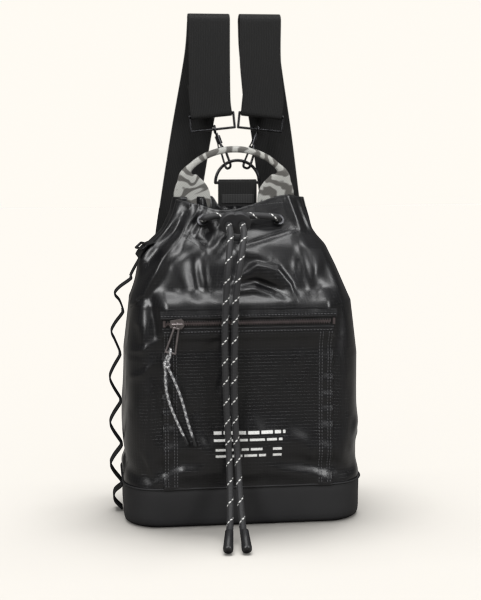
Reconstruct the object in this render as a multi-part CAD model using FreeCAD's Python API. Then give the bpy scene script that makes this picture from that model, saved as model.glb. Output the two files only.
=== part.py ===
import FreeCAD, Part
import math
import os
from FreeCAD import Matrix, Placement, Vector

# Drawstring bucket backpack, millimetres. The origin is the centre of the flat base, +Z up.
# The front (pocket, zipper, rope tails) faces -Y and +X is to the right of someone facing the front.

# Driving dimensions of the bag
BAG_WIDTH = 304.0
BAG_DEPTH = 160.0
CORNER_RADIUS = 44.0
BASE_HEIGHT = 50.0
COLLAR_BOTTOM = 352.0
RIM_HEIGHT = 406.0
FABRIC = 2.5
LINING = 0.8
BOTTOM_THICKNESS = 3.0
BOARD_THICKNESS = 2.5

# Levels of the outer skin: height, width, depth, centre in Y, corner radius
LEVELS = [
    (0.0, BAG_WIDTH, BAG_DEPTH, 0.0, CORNER_RADIUS),
    (215.0, BAG_WIDTH, BAG_DEPTH, 0.0, CORNER_RADIUS),
    (282.0, 286.0, 152.0, 0.0, CORNER_RADIUS),
    (328.0, 244.0, 132.0, 0.0, CORNER_RADIUS),
    (COLLAR_BOTTOM, 224.0, 116.0, 1.0, 42.0),
    (369.0, 198.0, 98.0, 2.0, 40.0),
    (392.0, 172.0, 74.0, 4.0, 34.0),
    (RIM_HEIGHT, 160.0, 62.0, 4.0, 28.0),
]

# Front pocket and zipper
FRONT_Y = -BAG_DEPTH / 2
POCKET_LEFT = -104.0
POCKET_RIGHT = 110.0
POCKET_TOP = 254.0
POCKET_THICKNESS = 2.0
ZIP_Z = 260.0
ZIP_TAPE_HEIGHT = 9.0
ZIP_TAPE_THICKNESS = 1.2
ZIP_LEFT = -104.0
ZIP_RIGHT = 112.0
TOOTH_PITCH = 3.0
TOOTH_LENGTH = 3.6
TOOTH_THICKNESS = 2.4
SLIDER_X = -86.0
SLIDER_LENGTH = 17.0
SLIDER_HEIGHT = 13.0
PULLER_LENGTH = 36.0
PULLER_TOP_WIDTH = 5.6
PULLER_BOTTOM_WIDTH = 12.0
PULLER_WIRE = 1.3
PULLER_LEAN = 14.0
BRIDGE_RADIUS = 0.9
BRIDGE_STAND = 4.2
EYE_WIRE = 0.7
PULL_CORD_RADIUS = 1.5

# Drawcord and its stopper
ROPE_RADIUS = 4.0
STOPPER_CENTRE = Vector(-11.5, -60.0, 381.0)
STOPPER_TILT = 65.0
STOPPER_WIDTH = 39.0
STOPPER_LENGTH = 29.0
STOPPER_THICKNESS = 8.0
STOPPER_HOLE_RADIUS = 4.6
HOLE_SPACING = 17.0
TIP_RADIUS = 6.0
TIP_LENGTH = 28.0
EYELET_X = (-50.0, 46.0)
EYELET_Y = -39.1
EYELET_Z = 382.0
EYELET_SLOPE = 31.0
EYELET_FLANGE_RADIUS = 7.4
EYELET_BARREL_RADIUS = 5.5
EYELET_BORE_RADIUS = 4.6
CHANNEL_Z = 379.5
CHANNEL_INSET = 12.0

# Straps, rings and hooks
STRAP_WIDTH = 54.0
STRAP_THICKNESS = 2.2
RING_WIRE = 1.6
RING_INSIDE_WIDTH = 54.6
RING_HEIGHT = 19.5
RING_TILT = 6.0
RING_X = (-30.2, 35.7)
RING_Y = 45.0
RING_TOP_Z = 514.0
HOOK_SHIFT = 2.5
HANG_Z = 632.0
HANG_RADIUS = 10.0
D_RING_X = 4.0
D_RING_Y = 45.0
D_RING_Z = 425.5
D_RING_RADIUS = 29.0
D_RING_WIRE = 2.0
HOOK_WIRE = 1.6
HOOK_SPINE = 5.6
HOOK_TWIST = 45.0
HOOK_REACH = 13.5

# Grab handle
HANDLE_X = -2.0
HANDLE_HALF_WIDTH = 75.0
HANDLE_RISE = 63.0
HANDLE_BASE_Z = 405.0
HANDLE_BREAK_Z = 441.0
HANDLE_LEAN = 7.5
HANDLE_BASE_Y = 32.0
GRIP_RADIUS = 4.5
PAD_THICKNESS = 4.0
PAD_GAP = 5.0

UP = Vector(0, 0, 1)
ACROSS = Vector(1, 0, 0)
BACK = Vector(0, 1, 0)


def save(name, shape):
    """Writes one sub-part and prints its volume."""
    solids = shape.Solids
    whole = solids[0] if len(solids) == 1 else Part.makeCompound(solids)
    whole.exportStep("parts/" + name + ".step")
    print(name, "solids", len(solids), "volume", round(shape.Volume), "valid", whole.isValid())


def block(low, high):
    """A box between two corners."""
    size = high - low
    return Part.makeBox(size.x, size.y, size.z, low)


def framed(shape, origin, x_axis, y_axis, z_axis):
    """Moves a shape made at the origin into a frame given by its axes."""
    placed = shape.copy()
    placed.Placement = Placement(Matrix(
        x_axis.x, y_axis.x, z_axis.x, origin.x,
        x_axis.y, y_axis.y, z_axis.y, origin.y,
        x_axis.z, y_axis.z, z_axis.z, origin.z,
        0, 0, 0, 1,
    ))
    return placed


def rod(start, end, radius):
    """A round bar between two points."""
    return Part.makeCylinder(radius, (end - start).Length, start, end - start)


def ball(centre, radius):
    """A sphere round a point."""
    return Part.makeSphere(radius, centre)


# ---------------------------------------------------------------- paths and tubes

def rounded_path(points, share=0.45):
    """Straight runs joined by tangent arcs as large as the runs allow. Returns the wire and the radii."""
    edges = []
    radii = []
    start = points[0]
    for before, corner, after in zip(points, points[1:], points[2:]):
        into = (corner - before).normalize()
        out = (after - corner).normalize()
        run = min((corner - before).Length, (after - corner).Length)
        cut = share * run
        half_turn = into.getAngle(out) / 2
        radius = cut / math.tan(half_turn)
        middle = (out - into).normalize()
        centre = corner + middle * (radius / math.cos(half_turn))
        arc_start = corner - into * cut
        arc_end = corner + out * cut
        arc_middle = centre - middle * radius
        edges.append(Part.LineSegment(start, arc_start).toShape())
        edges.append(Part.Arc(arc_start, arc_middle, arc_end).toShape())
        radii.append(radius)
        start = arc_end
    edges.append(Part.LineSegment(start, points[-1]).toShape())
    return Part.Wire(edges), radii


def tube(name, points, radius):
    """A round cord along a rounded path. Prints the path's radii and compares the volume."""
    path, radii = rounded_path(points)
    profile = Part.Wire(Part.makeCircle(radius, points[0], points[1] - points[0]))
    solid = path.makePipeShell([profile], True, True)
    solid = Part.Solid(solid) if solid.ShapeType != "Solid" else solid
    expected = math.pi * radius ** 2 * path.Length
    smallest = min(radii) if radii else 0
    print(name, "length", round(path.Length, 1), "smallest radius", round(smallest, 1),
          "volume ratio", round(solid.Volume / expected, 4))
    return solid


def arc_points(centre, first, second, radius, start_deg, end_deg, count):
    """Points on an arc in the plane of two unit vectors."""
    points = []
    for step in range(count + 1):
        angle = math.radians(start_deg + (end_deg - start_deg) * step / count)
        points.append(centre + first * (radius * math.cos(angle)) + second * (radius * math.sin(angle)))
    return points


def webbing(stations, width, thickness):
    """A flat band through stations of (centre, direction of its width)."""
    wires = []
    last = len(stations) - 1
    for index, (centre, wide) in enumerate(stations):
        before = stations[max(index - 1, 0)][0]
        after = stations[min(index + 1, last)][0]
        along = (after - before).normalize()
        normal = along.cross(wide).normalize()
        side = normal.cross(along).normalize() * (width / 2)
        lift = normal * (thickness / 2)
        corners = [centre - side - lift, centre + side - lift, centre + side + lift, centre - side + lift]
        wires.append(Part.makePolygon(corners + corners[:1]))
    return Part.makeLoft(wires, True, True)


# ---------------------------------------------------------------- bag body

def outline(level, inset):
    """The rounded rectangle of one level, moved inwards by inset."""
    height, width, depth, centre_y, corner = level
    half_x = width / 2 - inset
    half_y = depth / 2 - inset
    radius = corner - inset
    diagonal = radius * math.sqrt(0.5)
    edges = []
    corners = [(1, -1), (1, 1), (-1, 1), (-1, -1)]
    joints = []
    for sign_x, sign_y in corners:
        centre = Vector(sign_x * (half_x - radius), centre_y + sign_y * (half_y - radius), height)
        side_point = centre + Vector(sign_x * radius, 0, 0)
        face_point = centre + Vector(0, sign_y * radius, 0)
        middle = centre + Vector(sign_x * diagonal, sign_y * diagonal, 0)
        goes_from_face = sign_x * sign_y < 0
        first, second = (face_point, side_point) if goes_from_face else (side_point, face_point)
        joints.append((first, middle, second))
    for index, (first, middle, second) in enumerate(joints):
        edges.append(Part.Arc(first, middle, second).toShape())
        edges.append(Part.LineSegment(second, joints[(index + 1) % 4][0]).toShape())
    return Part.Wire(edges)


def level_at(height):
    """The level at any height, between the listed ones."""
    for lower, upper in zip(LEVELS, LEVELS[1:]):
        if lower[0] <= height <= upper[0]:
            share = (height - lower[0]) / (upper[0] - lower[0])
            return tuple(a + (b - a) * share for a, b in zip(lower, upper))
    return LEVELS[-1]


def body_solid(low, high, inset):
    """The solid inside the skin between two heights."""
    heights = [low] + [level[0] for level in LEVELS if low < level[0] < high] + [high]
    wires = []
    for height in heights:
        level = level_at(height)
        wires.append(outline((height,) + level[1:], inset))
    return Part.makeLoft(wires, True, True)


def skin(low, high, inset, thickness):
    """A ring of skin between two heights."""
    return body_solid(low, high, inset).cut(body_solid(low, high, inset + thickness))


def wedge(direction_x, direction_y):
    """A wedge from the bag's axis that takes in one side of it."""
    reach = 400.0
    slope = (BAG_DEPTH / 2) / (BAG_WIDTH / 2 - CORNER_RADIUS)
    if direction_y:
        points = [(0, 0), (reach, direction_y * reach * slope), (-reach, direction_y * reach * slope)]
    else:
        points = [(0, 0), (direction_x * reach, -reach * slope), (direction_x * reach, reach * slope)]
    corners = [Vector(x, y, -10) for x, y in points]
    face = Part.Face(Part.makePolygon(corners + corners[:1]))
    return face.extrude(Vector(0, 0, 500))


def make_body():
    """The four body panels, the base and what lies inside them."""
    shell = skin(BASE_HEIGHT, COLLAR_BOTTOM, 0, FABRIC)
    save("front_panel", shell.common(wedge(0, -1)))
    save("back_panel", shell.common(wedge(0, 1)))
    save("left_side_panel", shell.common(wedge(-1, 0)))
    save("right_side_panel", shell.common(wedge(1, 0)))
    save("base_band", skin(0, BASE_HEIGHT, 0, FABRIC))
    save("bottom_panel", body_solid(0, BOTTOM_THICKNESS, FABRIC))
    board_top = BOTTOM_THICKNESS + BOARD_THICKNESS
    save("base_board", body_solid(BOTTOM_THICKNESS, board_top, FABRIC + LINING + 1))
    save("lining", skin(board_top, 366, FABRIC + 0.3, LINING))


def make_collar():
    """The collar with its two eyelets, the cord channel's facing and the rim binding."""
    collar = skin(COLLAR_BOTTOM, RIM_HEIGHT, 0, FABRIC)
    slope = math.radians(EYELET_SLOPE)
    inward = Vector(0, math.cos(slope), -math.sin(slope))
    eyelets = []
    for x in EYELET_X:
        centre = Vector(x, EYELET_Y, EYELET_Z)
        collar = collar.cut(Part.makeCylinder(EYELET_BARREL_RADIUS + 0.1, 16, centre - inward * 8, inward))
        flange = Part.makeCylinder(EYELET_FLANGE_RADIUS, 1.8, centre - inward * 2.0, inward)
        flange = flange.makeFillet(0.8, [edge for edge in flange.Edges if len(edge.Vertexes) == 1])
        barrel = Part.makeCylinder(EYELET_BARREL_RADIUS, 5.0, centre - inward * 1.0, inward)
        bore = Part.makeCylinder(EYELET_BORE_RADIUS, 14, centre - inward * 7, inward)
        eyelets.append(flange.fuse(barrel).cut(bore))
    save("collar", collar)
    save("eyelets", Part.makeCompound(eyelets))
    save("channel_facing", skin(368, 396, FABRIC + CHANNEL_INSET, 1.0))
    save("rim_binding", rim_binding())


def rim_binding():
    """A folded tape on the top edge of the collar."""
    level = LEVELS[-1]
    outer = Part.Face(outline(level, -0.8)).extrude(Vector(0, 0, 2.6))
    inner = Part.Face(outline(level, FABRIC + 0.8)).extrude(Vector(0, 0, 2.6))
    return outer.cut(inner)


def make_back_pad():
    """A flat pad on the back panel."""
    pad = block(Vector(-88, BAG_DEPTH / 2, 81), Vector(88, BAG_DEPTH / 2 + 5, 212))
    edges = [edge for edge in pad.Edges if edge.BoundBox.YLength > 4]
    save("back_pad", pad.makeFillet(20, edges))


# ---------------------------------------------------------------- pocket and zipper

def make_pocket():
    """The front pocket's outer panel, up to just under the zipper."""
    panel = block(Vector(POCKET_LEFT, FRONT_Y - POCKET_THICKNESS, BASE_HEIGHT),
                  Vector(POCKET_RIGHT, FRONT_Y, LEVELS[1][0]))
    bend_z = LEVELS[1][0]
    top_y = -level_at(POCKET_TOP)[2] / 2
    corners = [
        Vector(POCKET_LEFT, FRONT_Y - POCKET_THICKNESS, bend_z),
        Vector(POCKET_LEFT, FRONT_Y, bend_z),
        Vector(POCKET_LEFT, top_y, POCKET_TOP),
        Vector(POCKET_LEFT, FRONT_Y - POCKET_THICKNESS, POCKET_TOP),
    ]
    wedge_top = Part.Face(Part.makePolygon(corners + corners[:1]))
    wedge_top = wedge_top.extrude(Vector(POCKET_RIGHT - POCKET_LEFT, 0, 0))
    save("pocket_panel", panel.fuse(wedge_top).removeSplitter())


def make_zipper():
    """Both tapes, both rows of teeth, the end stops and the facing behind them."""
    tape_back = FRONT_Y - POCKET_THICKNESS
    tape_front = tape_back - ZIP_TAPE_THICKNESS
    gap = 0.4
    lower = block(Vector(ZIP_LEFT, tape_front, ZIP_Z - ZIP_TAPE_HEIGHT),
                  Vector(ZIP_RIGHT, tape_back, ZIP_Z - gap))
    upper = block(Vector(ZIP_LEFT, tape_front, ZIP_Z + gap),
                  Vector(ZIP_RIGHT, tape_back, ZIP_Z + ZIP_TAPE_HEIGHT))
    save("zip_tape_lower", lower)
    save("zip_tape_upper", upper)
    facing = block(Vector(ZIP_LEFT, tape_back, ZIP_Z - 5), Vector(ZIP_RIGHT, -76.6, 274))
    save("zip_facing", facing.cut(body_solid(200, 300, 0)))
    count = int((ZIP_RIGHT - ZIP_LEFT - 12) / TOOTH_PITCH)
    for name, side, shift in (("zip_teeth_lower", -1, 0.0), ("zip_teeth_upper", 1, 0.5)):
        teeth = []
        for index in range(count):
            x = ZIP_LEFT + 5 + (index + shift) * TOOTH_PITCH
            tip = ZIP_Z + side * -0.9
            root = tip + side * TOOTH_LENGTH
            low = Vector(x, tape_front - TOOTH_THICKNESS, min(tip, root))
            teeth.append(block(low, Vector(x + 0.42 * TOOTH_PITCH, tape_front, max(tip, root))))
        save(name, Part.makeCompound(teeth))
    stops = []
    for x in (ZIP_LEFT + 1, ZIP_RIGHT - 4.5):
        low = Vector(x, tape_front - 2.6, ZIP_Z - 4)
        stops.append(block(low, Vector(x + 3, tape_front, ZIP_Z + 4)))
    save("zip_stops", Part.makeCompound(stops))


def slider_plate_y():
    """The slider's back face, just clear of the teeth."""
    return FRONT_Y - POCKET_THICKNESS - ZIP_TAPE_THICKNESS - TOOTH_THICKNESS - 0.3


def make_slider():
    """The slider's front plate with a round bridge for the puller."""
    back = slider_plate_y()
    half = SLIDER_LENGTH / 2
    top = SLIDER_HEIGHT / 2
    outline_points = [(-half, 4.6), (-half, -4.6), (half - 3, -top), (half, -3), (half, 3), (half - 3, top)]
    corners = [Vector(SLIDER_X + x, back, ZIP_Z + z) for x, z in outline_points]
    plate = Part.Face(Part.makePolygon(corners + corners[:1])).extrude(Vector(0, -1.5, 0))
    bridge_y = back - BRIDGE_STAND
    bridge = rod(Vector(SLIDER_X - 6, bridge_y, ZIP_Z), Vector(SLIDER_X + 6, bridge_y, ZIP_Z), BRIDGE_RADIUS)
    for sign in (-1, 1):
        foot = Vector(SLIDER_X + sign * 6, back - 1, ZIP_Z)
        top_end = Vector(SLIDER_X + sign * 6, bridge_y, ZIP_Z)
        bridge = bridge.fuse(rod(foot, top_end, BRIDGE_RADIUS)).fuse(ball(top_end, BRIDGE_RADIUS))
    save("zip_slider", plate.fuse(bridge))


def make_puller():
    """A long open frame that hangs from the slider's bridge and leans to the left."""
    back = slider_plate_y()
    y = back - BRIDGE_STAND
    lean = math.radians(PULLER_LEAN)
    down = Vector(-math.sin(lean), 0, -math.cos(lean))
    side = Vector(math.cos(lean), 0, -math.sin(lean))
    top = Vector(SLIDER_X, y, ZIP_Z)
    half_top = PULLER_TOP_WIDTH / 2
    half_bottom = PULLER_BOTTOM_WIDTH / 2
    neck = top + down * 5
    knots = [
        neck - side * half_top,
        top + down * PULLER_LENGTH - side * half_bottom,
        top + down * PULLER_LENGTH + side * half_bottom,
        neck + side * half_top,
    ]
    frame = ball(knots[0], PULLER_WIRE)
    for index, knot in enumerate(knots):
        following = knots[(index + 1) % 4]
        frame = frame.fuse(rod(knot, following, PULLER_WIRE)).fuse(ball(following, PULLER_WIRE))
    eye_radius = BRIDGE_RADIUS + 0.2 + EYE_WIRE
    frame = frame.fuse(Part.makeTorus(eye_radius, EYE_WIRE, top, ACROSS))
    frame = frame.fuse(rod(top + down * eye_radius, neck, PULLER_WIRE))
    save("zip_puller", frame)
    return top + down * PULLER_LENGTH


def make_pull_cord(hook_point):
    """A thin cord looped through the puller's frame, knotted, with two tails."""
    y = hook_point.y
    r = PULL_CORD_RADIUS
    knot_centre = Vector(-99.5, y + 0.6, 210)
    bar_clear = PULLER_WIRE + r + 0.25
    loop = [
        Vector(knot_centre.x - 1.6, y + bar_clear - 0.4, knot_centre.z + 3.6),
        Vector(hook_point.x - 0.6, y + bar_clear, hook_point.z + 1.2),
        Vector(hook_point.x, y + bar_clear - 0.4, hook_point.z + 4.4),
        Vector(hook_point.x, y - bar_clear + 0.4, hook_point.z + 4.4),
        Vector(hook_point.x + 0.6, y - bar_clear, hook_point.z + 1.2),
        Vector(knot_centre.x + 1.6, y - bar_clear + 0.4, knot_centre.z + 3.6),
    ]
    save("pull_cord_loop", tube("pull_cord_loop", loop, r))
    knot = Part.makeSphere(5.0, Vector(0, 0, 0))
    squeeze = Matrix()
    squeeze.scale(1.0, 0.72, 1.0)
    knot = knot.transformGeometry(squeeze)
    knot.translate(knot_centre)
    save("pull_knot", knot)
    left = [Vector(-101, y + 0.6, 206), Vector(-101.5, y + 1, 184.5), Vector(-96, y + 1.4, 160),
            Vector(-87, y + 1.4, 138), Vector(-78.5, y + 1, 119)]
    right = [Vector(-97.5, y - 0.4, 206.5), Vector(-87, y - 0.4, 184), Vector(-79, y - 0.2, 159),
             Vector(-74, y + 0.2, 137), Vector(-67.5, y + 0.8, 117)]
    tips = []
    for name, route in (("pull_cord_left", left), ("pull_cord_right", right)):
        save(name, tube(name, route, r))
        along = (route[-1] - route[-2]).normalize()
        tips.append(Part.makeCylinder(r + 0.4, 11, route[-1], along))
    save("pull_cord_tips", Part.makeCompound(tips))


# ---------------------------------------------------------------- drawcord and stopper

def stopper_normal():
    """The way the tails leave the stopper."""
    tilt = math.radians(STOPPER_TILT)
    return Vector(0, -math.sin(tilt), -math.cos(tilt))


def make_stopper():
    """A bean-shaped plate with two round holes."""
    normal = stopper_normal()
    tall = normal.cross(ACROSS).normalize()
    half_x = STOPPER_WIDTH / 2
    half_y = STOPPER_LENGTH / 2
    radius = half_y
    left = Vector(-(half_x - radius), 0, 0)
    right = Vector(half_x - radius, 0, 0)
    plate = Part.makeCylinder(radius, STOPPER_THICKNESS, left).fuse(
        Part.makeCylinder(radius, STOPPER_THICKNESS, right))
    middle = block(Vector(left.x, -radius + 1.2, 0), Vector(right.x, radius - 1.2, STOPPER_THICKNESS))
    plate = plate.fuse(middle).removeSplitter()
    rims = [edge for edge in plate.Edges if abs(edge.BoundBox.ZLength) < 0.01]
    plate = plate.makeFillet(1.6, rims)
    for sign in (-1, 1):
        hole_x = sign * HOLE_SPACING / 2
        plate = plate.cut(Part.makeCylinder(STOPPER_HOLE_RADIUS, 30, Vector(hole_x, 0, -10)))
    origin = STOPPER_CENTRE - normal * (STOPPER_THICKNESS / 2)
    save("cord_stopper", framed(plate, origin, ACROSS, tall, normal))


def tail_routes():
    """The two hanging tails, from behind the stopper down to the floor in front of the base."""
    normal = stopper_normal()
    routes = []
    for sign in (-1, 1):
        start = STOPPER_CENTRE + ACROSS * (sign * HOLE_SPACING / 2) - normal * 8
        routes.append([start, start + normal * 38])
    left, right = routes
    left += [Vector(-24.5, -103, 337), Vector(-27.5, -100, 292), Vector(-29, -98.5, 236),
             Vector(-27.5, -98.5, 182), Vector(-25.5, -99, 132), Vector(-24, -104, 92),
             Vector(-24.5, -119, 54), Vector(-27, -140, 22), Vector(-31, -163, 8.4)]
    right += [Vector(-10, -103, 337), Vector(-16, -100, 292), Vector(-16.5, -98.5, 236),
              Vector(-17.5, -98.5, 182), Vector(-16, -99, 132), Vector(-13.5, -104, 92),
              Vector(-13, -120, 54), Vector(-12.5, -141, 22), Vector(-12.5, -164, 8.4)]
    return left, right


def make_drawcord():
    """The tails with their tips, the cord from the stopper to each eyelet, and the cord in the channel."""
    for name, route in zip(("left", "right"), tail_routes()):
        save("drawcord_tail_" + name, tube("drawcord_tail_" + name, route, ROPE_RADIUS))
        along = (route[-1] - route[-2]).normalize()
        sleeve_start = route[-1]
        sleeve_end = sleeve_start + Vector(along.x, along.y, 0).normalize() * TIP_LENGTH
        sleeve_end.z = TIP_RADIUS + 0.1
        direction = sleeve_end - sleeve_start
        sleeve = Part.makeCone(ROPE_RADIUS + 0.8, TIP_RADIUS, TIP_LENGTH, sleeve_start, direction)
        save("drawcord_tip_" + name, sleeve)
    slope = math.radians(EYELET_SLOPE)
    inward = Vector(0, math.cos(slope), -math.sin(slope))
    left, right = tail_routes()
    right_eye = Vector(EYELET_X[1], EYELET_Y, EYELET_Z)
    left_eye = Vector(EYELET_X[0], EYELET_Y, EYELET_Z)
    right_neck = [right[0], Vector(-1.5, -47.5, 387.5), Vector(7, -46, 389), Vector(23, -47, 388.5),
                  Vector(38, -49.5, 387), right_eye - inward * 7, right_eye + inward * 7]
    left_neck = [left[0], Vector(-21.5, -47.5, 387.5), Vector(-29, -46.5, 388.8), Vector(-38, -47.5, 388.4),
                 Vector(-45.5, -48.4, 387), left_eye - inward * 6.5, left_eye + inward * 7]
    save("neck_cord_right", tube("neck_cord_right", right_neck, ROPE_RADIUS))
    save("neck_cord_left", tube("neck_cord_left", left_neck, ROPE_RADIUS))
    half_round = [(63.5, -32.2), (76.8, -24.3), (84.6, -11.0), (84.6, 16.8), (76.8, 30.1), (63.5, 37.7)]
    channel = [right_neck[-1], right_eye + inward * 8.5]
    channel += [Vector(x, y, CHANNEL_Z) for x, y in half_round]
    channel.append(Vector(0, 38.0, CHANNEL_Z))
    channel += [Vector(-x, y, CHANNEL_Z) for x, y in reversed(half_round)]
    channel += [left_eye + inward * 8.5, left_neck[-1]]
    save("channel_cord", tube("channel_cord", channel, ROPE_RADIUS))


# ---------------------------------------------------------------- straps, rings and hooks

def ring_axes(side):
    """Width, up and centre of a strap's rectangular ring; side is -1 for left and 1 for right."""
    tilt = math.radians(RING_TILT) * -side
    wide = Vector(math.cos(tilt), 0, math.sin(tilt))
    up = Vector(-math.sin(tilt), 0, math.cos(tilt))
    centre = Vector(RING_X[0 if side < 0 else 1], RING_Y, RING_TOP_Z)
    return wide, up, centre


def make_strap(name, side):
    """Round the ring's bar, up the front, over the hanging point and down the back to the base."""
    wide, up, bar = ring_axes(side)
    loop_radius = RING_WIRE + 0.4 + STRAP_THICKNESS / 2
    stations = [(bar + BACK * loop_radius + up * 40, wide), (bar + BACK * loop_radius + up * 5, wide)]
    for point in arc_points(bar, BACK, up, loop_radius, 0, -180, 8):
        stations.append((point, wide))
    stations.append((bar - BACK * loop_radius + up * 20, wide))
    top_x = -33.0 if side < 0 else 33.5
    stations.append((Vector(top_x, 41, 585), ACROSS))
    peg = Vector(top_x, 51, HANG_Z)
    for point in arc_points(peg, BACK, UP, HANG_RADIUS, 180, 0, 10):
        stations.append((point, ACROSS))
    out = side
    stations += [
        (Vector(out * 37, 66, 585), ACROSS),
        (Vector(out * 54, 78, 487), ACROSS),
        (Vector(out * 68, 91, 397), ACROSS),
        (Vector(out * 76, 98, 340), ACROSS),
        (Vector(out * 94, 98, 170), ACROSS),
        (Vector(out * 101, 93, 100), ACROSS),
        (Vector(out * 104, BAG_DEPTH / 2 + 2.2, 66), ACROSS),
        (Vector(out * 105, BAG_DEPTH / 2 + 1.3, 40), ACROSS),
        (Vector(out * 105, BAG_DEPTH / 2 + 1.3, 22), ACROSS),
    ]
    save(name, webbing(stations, STRAP_WIDTH, STRAP_THICKNESS))


def make_adjuster(name, side):
    """A three-bar slide on the straight stretch at the back of a strap."""
    start = Vector(side * 76, 98, 340)
    end = Vector(side * 94, 98, 170)
    down = (end - start).normalize()
    centre = start + (end - start) * 0.45
    wide = BACK.cross(down).normalize()
    half = STRAP_WIDTH / 2 + 3.2
    bar = 1.9
    lift = STRAP_THICKNESS / 2 + bar + 0.4
    frame = None
    for along, depth in ((-13, 1), (0, -1), (13, 1)):
        piece = rod(Vector(-half, depth * lift, along), Vector(half, depth * lift, along), bar)
        frame = piece if frame is None else frame.fuse(piece)
    for sign in (-1, 1):
        rail = block(Vector(sign * half - 1.9, -lift - 1.9, -14.9), Vector(sign * half + 1.9, lift + 1.9, 14.9))
        frame = frame.fuse(rail)
    save(name, framed(frame, centre, wide, BACK, down))
    print(name, "centre", centre, "direction", down)


def make_rect_ring(name, side):
    """A rectangular wire ring in a strap's lower end."""
    wide, up, bar = ring_axes(side)
    half = RING_INSIDE_WIDTH / 2 + RING_WIRE
    corners = [bar - wide * half, bar + wide * half,
               bar + wide * half - up * RING_HEIGHT, bar - wide * half - up * RING_HEIGHT]
    ring = ball(corners[0], RING_WIRE)
    for index, corner in enumerate(corners):
        following = corners[(index + 1) % 4]
        ring = ring.fuse(rod(corner, following, RING_WIRE)).fuse(ball(following, RING_WIRE))
    save(name, ring)


def hook_axes(side):
    """Origin on the ring's lower bar, direction towards the D-ring and the hook's own plane."""
    wide, up, bar = ring_axes(side)
    eye = bar - up * RING_HEIGHT + wide * (-side * HOOK_SHIFT)
    reach_x = D_RING_X + side * HOOK_REACH
    rise = math.sqrt(D_RING_RADIUS ** 2 - HOOK_REACH ** 2)
    wire_point = Vector(reach_x, D_RING_Y, D_RING_Z + rise)
    down = (wire_point - eye).normalize()
    across = BACK.cross(down).normalize()
    twist = math.radians(HOOK_TWIST)
    lateral = across * math.cos(twist) + BACK * (math.sin(twist) * side)
    return eye, down, lateral, (wire_point - eye).Length


def make_hook(side, hand):
    """A snap hook: eye, barrel, wire bow and a separate gate."""
    eye, down, lateral, reach = hook_axes(side)
    plane_normal = down.cross(lateral).normalize()
    hub = reach + 1.4

    def at(p, q):
        return eye + lateral * p + down * q

    nose_end = hub - 2.2
    bottom = hub + HOOK_SPINE
    route = [at(0, 12), at(0, 21.5), at(-HOOK_SPINE, 30), at(-HOOK_SPINE, bottom),
             at(HOOK_SPINE, bottom), at(HOOK_SPINE, nose_end)]
    body = tube("hook_spine_" + hand, route, HOOK_WIRE)
    body = body.fuse(rod(at(0, 9), at(0, 20), 3.6))
    body = body.fuse(rod(at(0, 5.0), at(0, 10), 1.9))
    body = body.fuse(Part.makeTorus(4.4, 1.5, eye, ring_axes(side)[0]))
    pivot = at(3.0, 24.6)
    for sign in (-1, 1):
        lug = pivot + plane_normal * (sign * 2.6)
        root = at(1.4, 18) + plane_normal * (sign * 2.2)
        body = body.fuse(rod(root, lug + (lug - root).normalize() * 1.0, 0.9))
    gate_end = at(HOOK_SPINE - 0.2, nose_end - 2.0)
    gate = rod(pivot, gate_end, 1.3).fuse(ball(pivot, 1.35)).fuse(ball(gate_end, 1.3))
    save("hook_body_" + hand, body)
    save("hook_gate_" + hand, gate)
    print("hook", hand, "eye", eye, "down", down, "plane normal", plane_normal, "gate pivot", pivot)


def make_d_ring():
    """A wire ring with one straight side."""
    centre = Vector(D_RING_X, D_RING_Y, D_RING_Z)
    half = Part.makeTorus(D_RING_RADIUS, D_RING_WIRE, centre, BACK)
    keep = block(centre + Vector(-40, -10, 0), centre + Vector(40, 10, 40))
    left = centre - ACROSS * D_RING_RADIUS
    right = centre + ACROSS * D_RING_RADIUS
    ring = half.common(keep).fuse(rod(left, right, D_RING_WIRE))
    ring = ring.fuse(ball(left, D_RING_WIRE)).fuse(ball(right, D_RING_WIRE))
    save("d_ring", ring)


def make_d_ring_loop():
    """Webbing folded over the ring's straight bar and sewn to the back of the collar."""
    bar = Vector(D_RING_X, D_RING_Y, D_RING_Z)
    thickness = 2.0
    radius = D_RING_WIRE + 0.4 + thickness / 2
    low = 398.0
    stations = [(Vector(D_RING_X, D_RING_Y - radius, low), ACROSS)]
    for point in arc_points(bar, BACK, UP, radius, 180, 0, 8):
        stations.append((point, ACROSS))
    stations += [
        (Vector(D_RING_X, D_RING_Y + radius, 408), ACROSS),
        (Vector(D_RING_X, D_RING_Y + 5.6, 386), ACROSS),
        (Vector(D_RING_X, D_RING_Y + 8.8, 372), ACROSS),
    ]
    save("d_ring_loop", webbing(stations, 51.0, thickness))
    label_y = D_RING_Y - radius
    label = block(Vector(D_RING_X - 21, label_y - 1.8, 399), Vector(D_RING_X + 22, label_y - 1, 411))
    save("loop_label", label)


# ---------------------------------------------------------------- handle

def handle_plane():
    """The handle's lower middle and the direction in which it rises."""
    lean = math.radians(HANDLE_LEAN)
    rise = Vector(0, -math.sin(lean), math.cos(lean))
    return Vector(HANDLE_X, HANDLE_BASE_Y, HANDLE_BASE_Z), rise


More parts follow.
